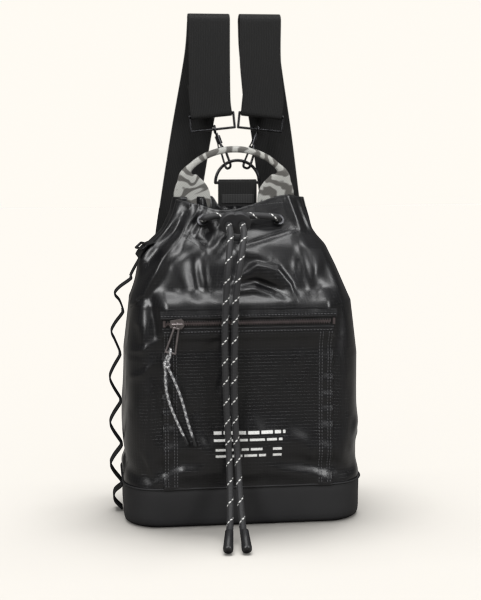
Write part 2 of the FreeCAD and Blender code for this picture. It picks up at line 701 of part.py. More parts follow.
def make_handle():
    """Two flat pads sewn inside the back of the collar and a round grip arched between them."""
    origin, rise = handle_plane()
    normal = ACROSS.cross(rise).normalize()
    break_height = HANDLE_BREAK_Z - HANDLE_BASE_Z
    start_deg = math.degrees(math.asin(break_height / HANDLE_RISE))

    def on_arch(degrees):
        angle = math.radians(degrees)
        across = HANDLE_HALF_WIDTH * math.cos(angle)
        return origin + ACROSS * across + rise * (HANDLE_RISE * math.sin(angle))

    count = 6
    angles = [start_deg + (180 - 2 * start_deg) * step / count for step in range(count + 1)]
    path = rounded_path([on_arch(angle) for angle in angles])[0]
    first = on_arch(angles[0])
    second = on_arch(angles[1])
    profile = Part.Wire(Part.makeCircle(GRIP_RADIUS, first, second - first))
    grip = path.makePipeShell([profile], True, True)
    save("handle_grip", grip)
    for hand, side in (("left", -1), ("right", 1)):
        arch = HANDLE_HALF_WIDTH * math.cos(math.radians(start_deg))
        outline_points = [
            (side * (arch + 6.0), break_height - PAD_GAP),
            (side * (HANDLE_HALF_WIDTH + 3), 14),
            (side * (HANDLE_HALF_WIDTH + 4), 4),
            (side * 31, 4),
            (side * 40, 14),
            (side * (arch - 3.5), break_height - PAD_GAP),
        ]
        corners = [origin + ACROSS * x + rise * h - normal * (PAD_THICKNESS / 2) for x, h in outline_points]
        face = Part.Face(Part.makePolygon(corners + corners[:1]))
        save("handle_pad_" + hand, face.extrude(normal * PAD_THICKNESS))
    print("handle break line", origin + rise * break_height)


# ---------------------------------------------------------------- side webbing

def make_daisy_chain():
    """Webbing down the left side, sewn flat between five standing loops."""
    wide = BACK
    y = 8.0
    valleys = [(-134.5, 308), (-149.0, 264), (-153.4, 208), (-153.4, 146), (-153.4, 88), (-153.4, 36)]
    peaks = [(-158.0, 286), (-163.0, 237), (-166.4, 177), (-166.8, 117), (-167.0, 62)]
    stations = [(Vector(-117.5, y, 345), wide)]
    stations.append((Vector(-127.5, y, 325), wide))
    for index, (valley_x, valley_z) in enumerate(valleys):
        stations.append((Vector(valley_x, y, valley_z + 2.5), wide))
        stations.append((Vector(valley_x, y, valley_z - 2.5), wide))
        if index < len(peaks):
            peak_x, peak_z = peaks[index]
            next_z = valleys[index + 1][1]
            stations.append((Vector((valley_x + 2 * peak_x) / 3, y, (valley_z + 1.6 * peak_z) / 2.6), wide))
            stations.append((Vector(peak_x, y, peak_z + 5), wide))
            stations.append((Vector(peak_x, y, peak_z - 5), wide))
            stations.append((Vector((valley_x + 2 * peak_x) / 3, y, (next_z + 1.6 * peak_z) / 2.6), wide))
    stations += [(Vector(-163, y, 25), wide), (Vector(-163.5, y, 14), wide), (Vector(-156, y, 4.5), wide),
                 (Vector(-153.4, y, 1.8), wide)]
    save("daisy_chain", webbing(stations, 22.0, 1.6))


def make_side_tab():
    """A short webbing tab with a small bar slide, at the left shoulder of the bag."""
    wide = Vector(0.35, -0.93, 0).normalize()
    stations = [(Vector(-110.5, -34, 357), wide), (Vector(-120, -32, 352), wide),
                (Vector(-131, -30, 338), wide)]
    save("side_tab", webbing(stations, 16.0, 1.6))
    centre = Vector(-120.6, -32, 352.6)
    along = (Vector(-131, -30, 338) - Vector(-110.5, -34, 357)).normalize()
    out = along.cross(wide).normalize()
    if out.x > 0:
        out = out * -1
    low = centre + out * 2.2
    bar = rod(low - wide * 11, low + wide * 11, 1.3)
    bar = bar.fuse(rod(low - wide * 11 + along * 9, low + wide * 11 + along * 9, 1.3))
    for sign in (-1, 1):
        bar = bar.fuse(rod(low + wide * (11 * sign), low + wide * (11 * sign) + along * 9, 1.3))
    save("side_tab_slide", bar)


def main():
    os.makedirs("parts", exist_ok=True)
    make_body()
    make_collar()
    make_back_pad()
    make_pocket()
    make_zipper()
    make_slider()
    hook_point = make_puller()
    make_pull_cord(hook_point)
    make_stopper()
    make_drawcord()
    make_d_ring()
    make_d_ring_loop()
    for hand, side in (("left", -1), ("right", 1)):
        make_strap("shoulder_strap_" + hand, side)
        make_adjuster("strap_adjuster_" + hand, side)
        make_rect_ring("rect_ring_" + hand, side)
        make_hook(side, hand)
    make_handle()
    make_daisy_chain()
    make_side_tab()


main()
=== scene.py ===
"""Looks for a drawstring backpack: coated ripstop body, matte base, rope cord, webbing and a front zipper."""
import math
import random

import bmesh
import bpy
import numpy as np
from mathutils import Matrix, Vector
from mathutils.bvhtree import BVHTree


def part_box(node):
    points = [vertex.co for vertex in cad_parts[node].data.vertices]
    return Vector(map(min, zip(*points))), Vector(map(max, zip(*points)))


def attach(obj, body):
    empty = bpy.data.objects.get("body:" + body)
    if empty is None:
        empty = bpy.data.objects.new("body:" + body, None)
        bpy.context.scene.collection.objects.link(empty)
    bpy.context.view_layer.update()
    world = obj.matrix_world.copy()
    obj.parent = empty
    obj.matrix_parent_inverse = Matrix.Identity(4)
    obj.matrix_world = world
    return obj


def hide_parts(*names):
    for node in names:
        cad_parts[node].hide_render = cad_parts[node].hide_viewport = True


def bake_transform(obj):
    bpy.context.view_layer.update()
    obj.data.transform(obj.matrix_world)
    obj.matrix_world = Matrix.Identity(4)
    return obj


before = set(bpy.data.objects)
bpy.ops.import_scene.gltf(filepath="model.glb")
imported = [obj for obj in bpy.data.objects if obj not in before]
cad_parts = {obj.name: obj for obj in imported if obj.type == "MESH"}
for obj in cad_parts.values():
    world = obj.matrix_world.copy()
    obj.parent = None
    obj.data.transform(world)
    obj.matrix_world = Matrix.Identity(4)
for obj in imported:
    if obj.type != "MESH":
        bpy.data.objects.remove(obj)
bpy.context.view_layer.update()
MM = 0.001
scene = bpy.context.scene

# The bag's shape, in metres
SEAM_Z = 0.050
RIM_Z = 0.406
FRONT_Y = -0.080
ZIP_CENTRE = 0.262
ZIP_SKIN_Y = -0.0822
SKIN_LIMIT_Y = -0.0838
CLOTH_FRAMES = 26
CLOTH_MOVE_CAP = 0.005
POCKET_LEFT, POCKET_RIGHT = -0.104, 0.110
POCKET_TOP = 0.2535
AROUND = 200
UPWARD = 90
FINE_AROUND = 440
FINE_UPWARD = 190
BODY_GIRTH = 0.830
SMALL_WRINKLES = 80
HEIGHTS = [0.0, 0.050, 0.215, 0.282, 0.328, 0.352, 0.369, 0.392, 0.406]
WIDTHS = [0.304, 0.304, 0.304, 0.288, 0.248, 0.226, 0.199, 0.176, 0.168]
DEPTHS = [0.160, 0.160, 0.160, 0.152, 0.132, 0.116, 0.098, 0.074, 0.064]
CENTRES = [0.0, 0.0, 0.0, 0.0, 0.0, 0.001, 0.002, 0.004, 0.004]
CORNERS = [0.044, 0.044, 0.044, 0.044, 0.044, 0.042, 0.040, 0.034, 0.028]

# Cords
ROPE_DIAMETER = 0.008
PULL_CORD_DIAMETER = 0.003
STOPPER = Vector((-0.0115, -0.060, 0.381))
STOPPER_TILT = math.radians(65)
HOLE_SPACING = 0.017


# ---------------------------------------------------------------- camera

def add_camera():
    azimuth = math.radians(-7.0)
    side = Vector((math.cos(azimuth), math.sin(azimuth), 0)) * 0.0026
    place = Vector((math.sin(azimuth), -math.cos(azimuth), 0)) * 1.580 + Vector((0, 0, 0.500)) + side
    target = Vector((0, 0, 0.276)) + side
    data = bpy.data.cameras.new("camera")
    data.sensor_width = 36
    data.lens = 73.9
    camera = bpy.data.objects.new("camera", data)
    camera.location = place
    camera.rotation_euler = (target - place).to_track_quat("-Z", "Y").to_euler()
    scene.collection.objects.link(camera)
    scene.camera = camera


# ---------------------------------------------------------------- mesh helpers

def new_object(name, points, faces, uv=None, smooth=True):
    """A mesh object from points and faces, with UVs given per corner."""
    mesh = bpy.data.meshes.new(name)
    mesh.from_pydata([tuple(p) for p in points], [], faces)
    if uv is not None:
        layer = mesh.uv_layers.new(name="UVMap")
        layer.data.foreach_set("uv", np.array(uv, float).reshape(-1))
    mesh.update()
    if smooth:
        mesh.polygons.foreach_set("use_smooth", [True] * len(mesh.polygons))
    obj = bpy.data.objects.new(name, mesh)
    scene.collection.objects.link(obj)
    return obj


def grid_object(name, grid, uv, closed_u=False):
    """A surface through a grid of points, rows by columns, with UVs in metres."""
    grid = np.asarray(grid, float)
    uv = np.asarray(uv, float)
    rows, columns = grid.shape[:2]
    faces = []
    corner_uv = []
    for r in range(rows - 1):
        for c in range(columns if closed_u else columns - 1):
            r2 = r + 1
            c2 = (c + 1) % columns
            faces.append((r * columns + c, r * columns + c2, r2 * columns + c2, r2 * columns + c))
            for rr, cc in ((r, c), (r, c + 1), (r + 1, c + 1), (r + 1, c)):
                corner_uv.append(uv[min(rr, uv.shape[0] - 1), min(cc, uv.shape[1] - 1)])
    return new_object(name, grid.reshape(-1, 3), faces, corner_uv)


def smooth_path(points, per_span=8):
    """A Catmull-Rom line through given points."""
    pts = [np.array(p, float) for p in points]
    pts = [2 * pts[0] - pts[1]] + pts + [2 * pts[-1] - pts[-2]]
    line = []
    for i in range(1, len(pts) - 2):
        p0, p1, p2, p3 = pts[i - 1:i + 3]
        for s in range(per_span):
            t = s / per_span
            line.append(0.5 * (2 * p1 + (p2 - p0) * t + (2 * p0 - 5 * p1 + 4 * p2 - p3) * t ** 2
                               + (3 * p1 - p0 - 3 * p2 + p3) * t ** 3))
    line.append(pts[-2])
    return np.array(line)


def lengths_along(line):
    steps = np.linalg.norm(np.diff(line, axis=0), axis=1)
    return np.concatenate([[0], np.cumsum(steps)])


def resampled(line, step):
    """Points an even distance apart along a line."""
    along = lengths_along(line)
    at = np.linspace(0, along[-1], max(3, int(math.ceil(along[-1] / step)) + 1))
    return np.stack([np.interp(at, along, line[:, k]) for k in range(line.shape[1])], axis=1)


def unit(v):
    v = np.asarray(v, float)
    return v / max(np.linalg.norm(v), 1e-12)


def step_up(low, high, value):
    t = np.clip((np.asarray(value, float) - low) / (high - low), 0, 1)
    return t * t * (3 - 2 * t)


def join(name, objects):
    """Joins loose objects into one mesh."""
    bm = bmesh.new()
    for obj in objects:
        obj.data.transform(obj.matrix_world)
        bm.from_mesh(obj.data)
        mesh = obj.data
        bpy.data.objects.remove(obj)
        bpy.data.meshes.remove(mesh)
    mesh = bpy.data.meshes.new(name)
    bm.to_mesh(mesh)
    bm.free()
    obj = bpy.data.objects.new(name, mesh)
    scene.collection.objects.link(obj)
    return obj


def band(name, stations, wide_dirs, width, thickness, step):
    """A flat strap with rounded edges along stations, each with the direction of its width."""
    data = np.array([list(s) + list(w) + [width] for s, w in zip(stations, wide_dirs)], float)
    line = resampled(smooth_path(data, 8), step)
    centre, wide, broad = line[:, :3], line[:, 3:6], line[:, 6]
    along = lengths_along(centre)
    tangent = np.gradient(centre, axis=0)
    profile = [(-1, 0), (-0.985, 0.8), (-0.94, 1), (-0.5, 1), (0, 1), (0.5, 1), (0.94, 1), (0.985, 0.8),
               (1, 0), (0.985, -0.8), (0.94, -1), (0.5, -1), (0, -1), (-0.5, -1), (-0.94, -1), (-0.985, -0.8)]
    grid = []
    uv = []
    for i in range(len(centre)):
        t = unit(tangent[i])
        w = unit(wide[i] - t * np.dot(wide[i], t))
        n = np.cross(t, w)
        row = []
        uv_row = []
        for a, b in profile:
            row.append(centre[i] + w * a * broad[i] / 2 + n * (b * thickness / 2))
            uv_row.append((a * broad[i] / 2, along[i]))
        grid.append(row)
        uv.append(uv_row + [uv_row[0]])
    obj = grid_object(name, grid, uv, closed_u=True)
    cap_ends(obj, len(profile), len(centre))
    return obj


def cap_ends(obj, ring, rows):
    """Closes both ends of a tube-like grid."""
    bm = bmesh.new()
    bm.from_mesh(obj.data)
    bm.verts.ensure_lookup_table()
    bm.faces.new([bm.verts[i] for i in range(ring - 1, -1, -1)])
    bm.faces.new([bm.verts[(rows - 1) * ring + i] for i in range(ring)])
    bm.to_mesh(obj.data)
    bm.free()


# ---------------------------------------------------------------- materials

class Shader:
    """A small helper that builds one node material."""

    def __init__(self, name, **sockets):
        self.material = bpy.data.materials.new(name)
        self.material.use_nodes = True
        self.tree = self.material.node_tree
        self.bsdf = self.tree.nodes["Principled BSDF"]
        for key, value in sockets.items():
            self.bsdf.inputs[key.replace("_", " ")].default_value = value

    def node(self, kind, **values):
        node = self.tree.nodes.new(kind)
        for key, value in values.items():
            setattr(node, key, value)
        return node

    def link(self, a, b):
        self.tree.links.new(a, b)

    def math(self, operation, a, b=None, c=None):
        node = self.node("ShaderNodeMath", operation=operation)
        for index, value in enumerate((a, b, c)):
            if value is None:
                continue
            if isinstance(value, (int, float)):
                node.inputs[index].default_value = value
            else:
                self.link(value, node.inputs[index])
        return node.outputs[0]

    def uv(self):
        node = self.node("ShaderNodeUVMap")
        split = self.node("ShaderNodeSeparateXYZ")
        self.link(node.outputs[0], split.inputs[0])
        return split.outputs[0], split.outputs[1]

    def place(self):
        return self.node("ShaderNodeTexCoord").outputs["Object"]

    def noise(self, scale, detail=3.0, vector=None, roughness=0.5, distortion=0.0):
        node = self.node("ShaderNodeTexNoise")
        node.inputs["Scale"].default_value = scale
        node.inputs["Detail"].default_value = detail
        node.inputs["Roughness"].default_value = roughness
        node.inputs["Distortion"].default_value = distortion
        self.link(vector if vector is not None else self.place(), node.inputs["Vector"])
        return node.outputs["Fac"]

    def ramp(self, factor, stops):
        node = self.node("ShaderNodeValToRGB")
        elements = node.color_ramp.elements
        while len(elements) < len(stops):
            elements.new(0.5)
        for element, (position, colour) in zip(elements, stops):
            element.position = position
            element.color = (*colour, 1) if len(colour) == 3 else colour
        self.link(factor, node.inputs[0])
        return node.outputs[0]

    def colour(self, output):
        self.link(output, self.bsdf.inputs["Base Color"])

    def roughness(self, factor, low, high):
        node = self.node("ShaderNodeMapRange")
        node.inputs["To Min"].default_value = low
        node.inputs["To Max"].default_value = high
        self.link(factor, node.inputs["Value"])
        self.link(node.outputs[0], self.bsdf.inputs["Roughness"])

    def bump(self, layers):
        """Stacks bump layers of (height, strength, distance)."""
        previous = None
        for height, strength, distance in layers:
            node = self.node("ShaderNodeBump")
            node.inputs["Strength"].default_value = strength
            node.inputs["Distance"].default_value = distance
            self.link(height, node.inputs["Height"])
            if previous is not None:
                self.link(previous, node.inputs["Normal"])
            previous = node.outputs[0]
        self.link(previous, self.bsdf.inputs["Normal"])


def line_mask(shader, value, pitch, share):
    """1 on thin lines a pitch apart, 0 between them."""
    position = shader.math("FRACT", shader.math("DIVIDE", value, pitch))
    centred = shader.math("ABSOLUTE", shader.math("SUBTRACT", position, 0.5))
    return shader.math("LESS_THAN", centred, share / 2)


def wave(shader, value, pitch):
    """A smooth wave from 0 to 1 with that pitch."""
    turned = shader.math("SINE", shader.math("MULTIPLY", value, 2 * math.pi / pitch))
    return shader.math("MULTIPLY_ADD", turned, 0.5, 0.5)


def ripstop_material():
    s = Shader("coated_ripstop", Roughness=0.34, Coat_Weight=0.30, Coat_Roughness=0.20, Specular_IOR_Level=0.42)
    u, v = s.uv()
    lines = s.math("MAXIMUM", line_mask(s, u, 0.0042, 0.16), line_mask(s, v, 0.0042, 0.16))
    weave = s.math("MULTIPLY", wave(s, u, 0.0009), wave(s, v, 0.0009))
    crinkle = s.noise(70, 5, roughness=0.6)
    soft = s.noise(18, 3)
    tone = s.ramp(s.math("MULTIPLY_ADD", lines, 0.5, s.math("MULTIPLY", crinkle, 0.5)),
                  [(0.1, (0.0020, 0.0020, 0.0026)), (0.9, (0.0065, 0.0065, 0.0078))])
    s.colour(tone)
    s.roughness(crinkle, 0.24, 0.42)
    s.bump([(soft, 0.14, 0.004), (crinkle, 0.08, 0.0010), (lines, 0.35, 0.0003), (weave, 0.15, 0.0001)])
    return s.material


def base_material():
    s = Shader("base_fabric", Roughness=0.62, Specular_IOR_Level=0.4)
    grain = s.noise(900, 3)
    cloud = s.noise(14, 3)
    s.colour(s.ramp(cloud, [(0.3, (0.012, 0.012, 0.013)), (0.7, (0.018, 0.018, 0.019))]))
    s.roughness(cloud, 0.55, 0.7)
    s.bump([(cloud, 0.2, 0.003), (grain, 0.25, 0.0003)])
    return s.material


def webbing_material(name="webbing", tone=0.014):
    s = Shader(name, Roughness=0.75, Specular_IOR_Level=0.22)
    u, v = s.uv()
    rib = wave(s, u, 0.0022)
    row = wave(s, s.math("ADD", v, s.math("MULTIPLY", rib, 0.0006)), 0.0013)
    cloth = s.math("MULTIPLY", rib, row)
    s.colour(s.ramp(cloth, [(0.0, (tone * 0.5,) * 3), (0.8, (tone * 1.5,) * 3)]))
    s.bump([(cloth, 0.7, 0.0005), (s.noise(500, 2), 0.2, 0.0002)])
    return s.material


def handle_material():
    s = Shader("handle_jacquard", Roughness=0.78, Sheen_Weight=0.15)
    u, v = s.uv()
    warp = s.noise(22, 2, distortion=1.2)
    bands = wave(s, s.math("ADD", v, s.math("MULTIPLY", warp, 0.05)), 0.017)
    rows = s.math("MULTIPLY", wave(s, s.math("ADD", u, v), 0.0026), wave(s, s.math("SUBTRACT", u, v), 0.0026))
    patch = s.ramp(bands, [(0.30, (0.12, 0.115, 0.105)), (0.42, (0.20, 0.195, 0.18)),
                           (0.55, (0.30, 0.295, 0.28)), (0.66, (0.48, 0.48, 0.45))])
    mix = s.node("ShaderNodeMix", data_type="RGBA", blend_type="MULTIPLY")
    mix.inputs["Factor"].default_value = 0.55
    s.link(patch, mix.inputs["A"])
    s.link(s.ramp(rows, [(0.0, (0.55, 0.55, 0.55)), (0.7, (1.1, 1.1, 1.1))]), mix.inputs["B"])
    s.colour(mix.outputs["Result"])
    s.bump([(rows, 0.6, 0.0004)])
    return s.material


def rope_material(name, ground, tracer, pitch, share, dash, dash_share, second=False):
    """A braided sheath: u goes once round, v is the length in metres."""
    s = Shader(name, Roughness=0.6, Sheen_Weight=0.1)
    u, v = s.uv()
    turn = s.math("DIVIDE", v, pitch)
    helix = s.math("FRACT", s.math("SUBTRACT", u, turn))
    mask = s.math("LESS_THAN", helix, share)
    if second:
        other = s.math("FRACT", s.math("ADD", s.math("ADD", u, turn), 0.5))
        mask = s.math("MAXIMUM", mask, s.math("LESS_THAN", other, share))
    dashes = s.math("LESS_THAN", s.math("FRACT", s.math("DIVIDE", v, dash)), dash_share)
    mask = s.math("MULTIPLY", mask, dashes)
    shade = s.noise(900, 2)
    dark = s.ramp(shade, [(0.3, ground), (0.7, tuple(1.8 * k for k in ground))])
    mix = s.node("ShaderNodeMix", data_type="RGBA")
    s.link(mask, mix.inputs["Factor"])
    s.link(dark, mix.inputs["A"])
    mix.inputs["B"].default_value = (*tracer, 1)
    s.colour(mix.outputs["Result"])
    s.bump([(s.noise(1500, 2), 0.3, 0.0002)])
    return s.material


def metal_material(name, tone, rough):
    s = Shader(name, Metallic=1.0, Roughness=rough)
    cloud = s.noise(120, 3)
    s.colour(s.ramp(cloud, [(0.3, tuple(0.8 * k for k in tone)), (0.7, tuple(1.2 * k for k in tone))]))
    s.roughness(cloud, rough * 0.8, rough * 1.25)
    s.bump([(s.noise(1200, 2), 0.08, 0.0001)])
    return s.material


def plastic_material(name, tone, rough, grain=0.25):
    s = Shader(name, Roughness=rough)
    cloud = s.noise(60, 3)
    s.colour(s.ramp(cloud, [(0.3, tuple(0.85 * k for k in tone)), (0.7, tuple(1.15 * k for k in tone))]))
    s.roughness(cloud, rough * 0.9, rough * 1.1)
    s.bump([(s.noise(1400, 2), grain, 0.0002)])
    return s.material


def print_material():
    s = Shader("print_ink", Roughness=0.55)
    s.colour(s.ramp(s.noise(700, 3), [(0.25, (0.45, 0.45, 0.44)), (0.5, (0.8, 0.8, 0.78))]))
    s.bump([(s.noise(700, 2), 0.2, 0.0001)])
    return s.material


def thread_material():
    s = Shader("thread", Roughness=0.42)
    s.colour(s.ramp(s.noise(600, 2), [(0.3, (0.035, 0.035, 0.038)), (0.7, (0.10, 0.10, 0.105))]))
    s.bump([(s.noise(2500, 2), 0.3, 0.0001)])
    return s.material


def make_materials():
    return {
        "ripstop": ripstop_material(),
        "base": base_material(),
        "webbing": webbing_material(),
        "tape": webbing_material("zip_tape", 0.012),
        "label": webbing_material("label_weave", 0.035),
        "lining": webbing_material("lining_weave", 0.02),
        "pad": webbing_material("pad_mesh", 0.022),
        "handle": handle_material(),
        "rope": rope_material("rope_sheath", (0.010, 0.010, 0.011), (0.82, 0.82, 0.80),
                              0.025, 0.075, 0.0038, 0.6),
        "pull_cord": rope_material("pull_cord_sheath", (0.10, 0.10, 0.105), (0.62, 0.62, 0.62),
                                   0.009, 0.30, 0.0016, 0.62, second=True),
        "metal": metal_material("black_nickel", (0.045, 0.045, 0.048), 0.28),
        "slider": metal_material("slider_metal", (0.30, 0.27, 0.27), 0.34),
        "teeth": metal_material("teeth_metal", (0.26, 0.22, 0.225), 0.30),
        "stopper": plastic_material("stopper_rubber", (0.022, 0.022, 0.024), 0.48),
        "tip": plastic_material("tip_plastic", (0.016, 0.016, 0.017), 0.36),
        "print": print_material(),
        "thread": thread_material(),
    }


def paint(obj, material):
    obj.data.materials.clear()
    obj.data.materials.append(material)
    return obj


# ---------------------------------------------------------------- cords

def stopper_direction():
    return Vector((0, -math.sin(STOPPER_TILT), -math.cos(STOPPER_TILT)))


def rope_routes():
    """The two hanging tails, from behind the stopper down to the floor."""
    out = stopper_direction()
    starts = []
    for sign in (-1, 1):
        start = STOPPER + Vector((sign * HOLE_SPACING / 2, 0, 0)) - out * 0.008
        starts.append([start, start + out * 0.024, start + out * 0.038])
    left = [(-24.5, -103, 337), (-27.5, -100, 292), (-29, -98.5, 236), (-27.5, -98.5, 182), (-25.5, -99, 132),
            (-24, -104, 92), (-24.5, -119, 54), (-27, -140, 22), (-31, -163, 8.4)]
    right = [(-10, -103, 337), (-16, -100, 292), (-16.5, -98.5, 236), (-17.5, -98.5, 182), (-16, -99, 132),
             (-13.5, -104, 92), (-13, -120, 54), (-12.5, -141, 22), (-12.5, -164, 8.4)]
    routes = []
    for start, rest in zip(starts, (left, right)):
        routes.append(start + [Vector(p) * MM for p in rest])
    return routes


def spline_line(name, route):
    """The smooth line of a cord: a NURBS curve with the route as its control points."""
    data = bpy.data.curves.new(name, "CURVE")
    data.dimensions = "3D"
    data.resolution_u = 24
    spline = data.splines.new("NURBS")
    spline.points.add(len(route) - 1)
    for point, place in zip(spline.points, route):
        point.co = (*place, 1)
    spline.order_u = 3
    spline.use_endpoint_u = True
    holder = bpy.data.objects.new(name + "_line", data)
    mesh = bpy.data.meshes.new_from_object(holder)
    line = np.array([v.co for v in mesh.vertices], float)
    bpy.data.meshes.remove(mesh)
    bpy.data.objects.remove(holder)
    bpy.data.curves.remove(data)
    return line


def braided_tube(name, line, diameter, strands=8, step=None, relief=0.055, pitch_turns=2.2):
    """A braided cord: a tube whose surface rises and falls where strands cross."""
    radius = diameter / 2
    step = step or diameter / 9
    line = resampled(line, step)
    along = lengths_along(line)
    tangent = np.gradient(line, axis=0)
    ring = strands * 3
    normal = unit(np.cross(tangent[0], (0.3, 0.1, 1.0)))
    grid = []
    uv = []
    for i, centre in enumerate(line):
        t = unit(tangent[i])
        normal = unit(normal - t * np.dot(normal, t))
        side = np.cross(t, normal)
        row = []
        uv_row = []
        for k in range(ring):
            angle = 2 * math.pi * k / ring
            turn = along[i] / (diameter * pitch_turns)
            first = math.sin(strands * (angle / 2 + math.pi * turn))
            second = math.sin(strands * (angle / 2 - math.pi * turn))
            r = radius * (1 + relief * (abs(first * second) * 2 - 0.9))
            row.append(centre + (normal * math.cos(angle) + side * math.sin(angle)) * r)
            uv_row.append((k / ring, along[i]))
        grid.append(row)
        uv.append(uv_row + [(1.0, along[i])])
    obj = grid_object(name, grid, uv, closed_u=True)
    cap_ends(obj, ring, len(line))
    return obj


def tip_piece(name, line, start_radius, end_radius, length, overlap=0.003):
    """A moulded sleeve over a cord's end, flared, with a chamfered mouth."""
    end = line[-1]
    along = unit(line[-1] - line[-4])
    profile = [(-overlap, 0.6), (-overlap, 0.92), (-overlap + 0.0006, 1.0), (length * 0.5, 1.06),
               (length * 0.86, 1.12), (length * 0.97, 1.02), (length, 0.80), (length, 0.0)]
    first = unit(np.cross(along, (1, 0, 0)))
    second = np.cross(along, first)
    grid = []
    for distance, share in profile:
        grow = (distance + overlap) / (length + overlap)
        radius = (start_radius + (end_radius - start_radius) * grow) * share
        ring = []
        for k in range(28):
            angle = 2 * math.pi * k / 28
            ring.append(end + along * distance + (first * math.cos(angle) + second * math.sin(angle)) * radius)
        grid.append(ring)
    uv = [[(k / 28, row * 0.004) for k in range(29)] for row in range(len(profile))]
    return grid_object(name, grid, uv, closed_u=True)


def make_rope(mats):
    """Both tails with their tips, and the short lengths between the stopper and the eyelets."""
    for hand, route in zip(("left", "right"), rope_routes()):
        name = "drawcord_tail_" + hand
        line = spline_line(name, route)
        rope = paint(braided_tube(name + "_braid", line, ROPE_DIAMETER), mats["rope"])
        tip = paint(tip_piece("drawcord_tip_" + hand + "_sleeve", line, 0.0047, 0.0054, 0.027), mats["tip"])
        keep_above(tip, 0.0005)
        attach(rope, "root")
        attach(tip, "root")
        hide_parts(name)
        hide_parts("drawcord_tip_" + hand)
    necks = {
        "right": [(-3, -52.7, 384.4), (-1.5, -47.5, 387.5), (7, -46, 389), (23, -47, 388.5), (38, -49.5, 387),
                  (46, -45.1, 385.6), (46, -33.1, 378.4)],
        "left": [(-20, -52.7, 384.4), (-21.5, -47.5, 387.5), (-29, -46.5, 388.8), (-38, -47.5, 388.4),
                 (-45.5, -48.4, 387), (-50, -44.7, 385.3), (-50, -33.1, 378.4)],
    }
    for hand, points in necks.items():
        line = spline_line("neck_" + hand, [Vector(p) * MM for p in points])
        rope = paint(braided_tube("neck_cord_" + hand + "_braid", line, ROPE_DIAMETER), mats["rope"])
        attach(rope, "root")
        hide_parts("neck_cord_" + hand)


def keep_above(obj, height):
    """Rests a piece on the floor: nothing of it goes below that height."""
    lowest = min(v.co.z for v in obj.data.vertices)
    if lowest < height:
        for vertex in obj.data.vertices:
            vertex.co.z += (height - lowest)
    obj.data.update()


def make_pull_cord(mats):
    """The zipper pull's thin cord: a loop through the frame, an overhand knot and two tails."""
    box_low, box_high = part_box("pull_knot")
    y = (box_low.y + box_high.y) / 2 / MM - 0.6
    pieces = []
    loop = [(-101.1, y + 2.45, 213.6), (-95.3, y + 2.85, 226.3),
            (-94.7, y + 2.45, 229.5), (-94.7, y - 2.45, 229.5),
            (-94.1, y - 2.85, 226.3), (-97.9, y - 2.45, 213.6)]
    line = spline_line("loop", [Vector(p) * MM for p in loop])
    loop_braid = braided_tube("pull_cord_loop_braid", line, PULL_CORD_DIAMETER, strands=6)
    pieces.append(("pull_cord_loop", loop_braid))
    knot_line = []
    centre = np.array((-99.5, y + 0.2, 210.0)) * MM
    for i in range(90):
        a = 2 * math.pi * i / 89
        r = 0.0026 + 0.0009 * math.cos(3 * a)
        turn = np.array((r * math.cos(2 * a), 0.0016 * math.sin(3 * a), r * 1.15 * math.sin(2 * a)))
        knot_line.append(centre + turn)
    knot = braided_tube("pull_knot_braid", np.array(knot_line), PULL_CORD_DIAMETER, strands=6)
    pieces.append(("pull_knot", knot))
    for node, piece in pieces:
        paint(piece, mats["pull_cord"])
        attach(piece, "pull_cord")
        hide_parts(node)
    tails = {
        "left": [(-101, y + 0.6, 206), (-101.5, y + 1, 184.5), (-96, y + 1.4, 160), (-87, y + 1.4, 138),
                 (-78.5, y + 1, 119)],
        "right": [(-97.5, y - 0.4, 206.5), (-87, y - 0.4, 184), (-79, y - 0.2, 159), (-74, y + 0.2, 137),
                  (-67.5, y + 0.8, 117)],
    }
    for hand, points in tails.items():
        name = "pull_cord_" + hand
        route = [Vector(p) * MM for p in points]
        line = spline_line(name, route)
        cord = paint(braided_tube(name + "_braid", line, PULL_CORD_DIAMETER, strands=6), mats["pull_cord"])
        tip = paint(tip_piece(name + "_tip", line, 0.0018, 0.0018, 0.011, overlap=0.002), mats["tip"])
        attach(cord, "pull_cord")
        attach(tip, "pull_cord")
        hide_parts(name)
    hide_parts("pull_cord_tips")


# ---------------------------------------------------------------- bag body

def level(height):
    return [float(np.interp(height, HEIGHTS, column)) for column in (WIDTHS, DEPTHS, CENTRES, CORNERS)]


def ring_points(height, count, inset=0.0):
    """Points evenly round the bag at a height, from the middle of the back, and their outward directions."""
    width, depth, centre_y, corner = level(height)
    half_x, half_y = width / 2 - inset, depth / 2 - inset
    corner = min(corner, half_x, half_y)
    flat_x, flat_y = half_x - corner, half_y - corner
    arc = math.pi / 2 * corner
    runs = [flat_x, arc, 2 * flat_y, arc, 2 * flat_x, arc, 2 * flat_y, arc, flat_x]
    ends = np.cumsum(runs)
    points = []
    outward = []
    for k in range(count):
        s = ends[-1] * k / count
        run = int(np.searchsorted(ends, s, side="right"))
        t = s - (ends[run - 1] if run else 0)
        if run == 0:
            p, n = (-t, half_y), (0, 1)
        elif run == 8:
            p, n = (flat_x - t, half_y), (0, 1)
        elif run == 4:
            p, n = (-flat_x + t, -half_y), (0, -1)
        elif run == 2:
            p, n = (-half_x, flat_y - t), (-1, 0)
        elif run == 6:
            p, n = (half_x, -flat_y + t), (1, 0)
        else:
            start = {1: 90, 3: 180, 5: 270, 7: 0}[run]
            angle = math.radians(start) + t / corner
            cx = -flat_x if run in (1, 3) else flat_x
            cy = flat_y if run in (1, 7) else -flat_y
            n = (math.cos(angle), math.sin(angle))
            p = (cx + corner * n[0], cy + corner * n[1])
        points.append((p[0], p[1] + centre_y, height))
        outward.append((n[0], n[1], 0))
    return np.array(points), np.array(outward), float(ends[-1])


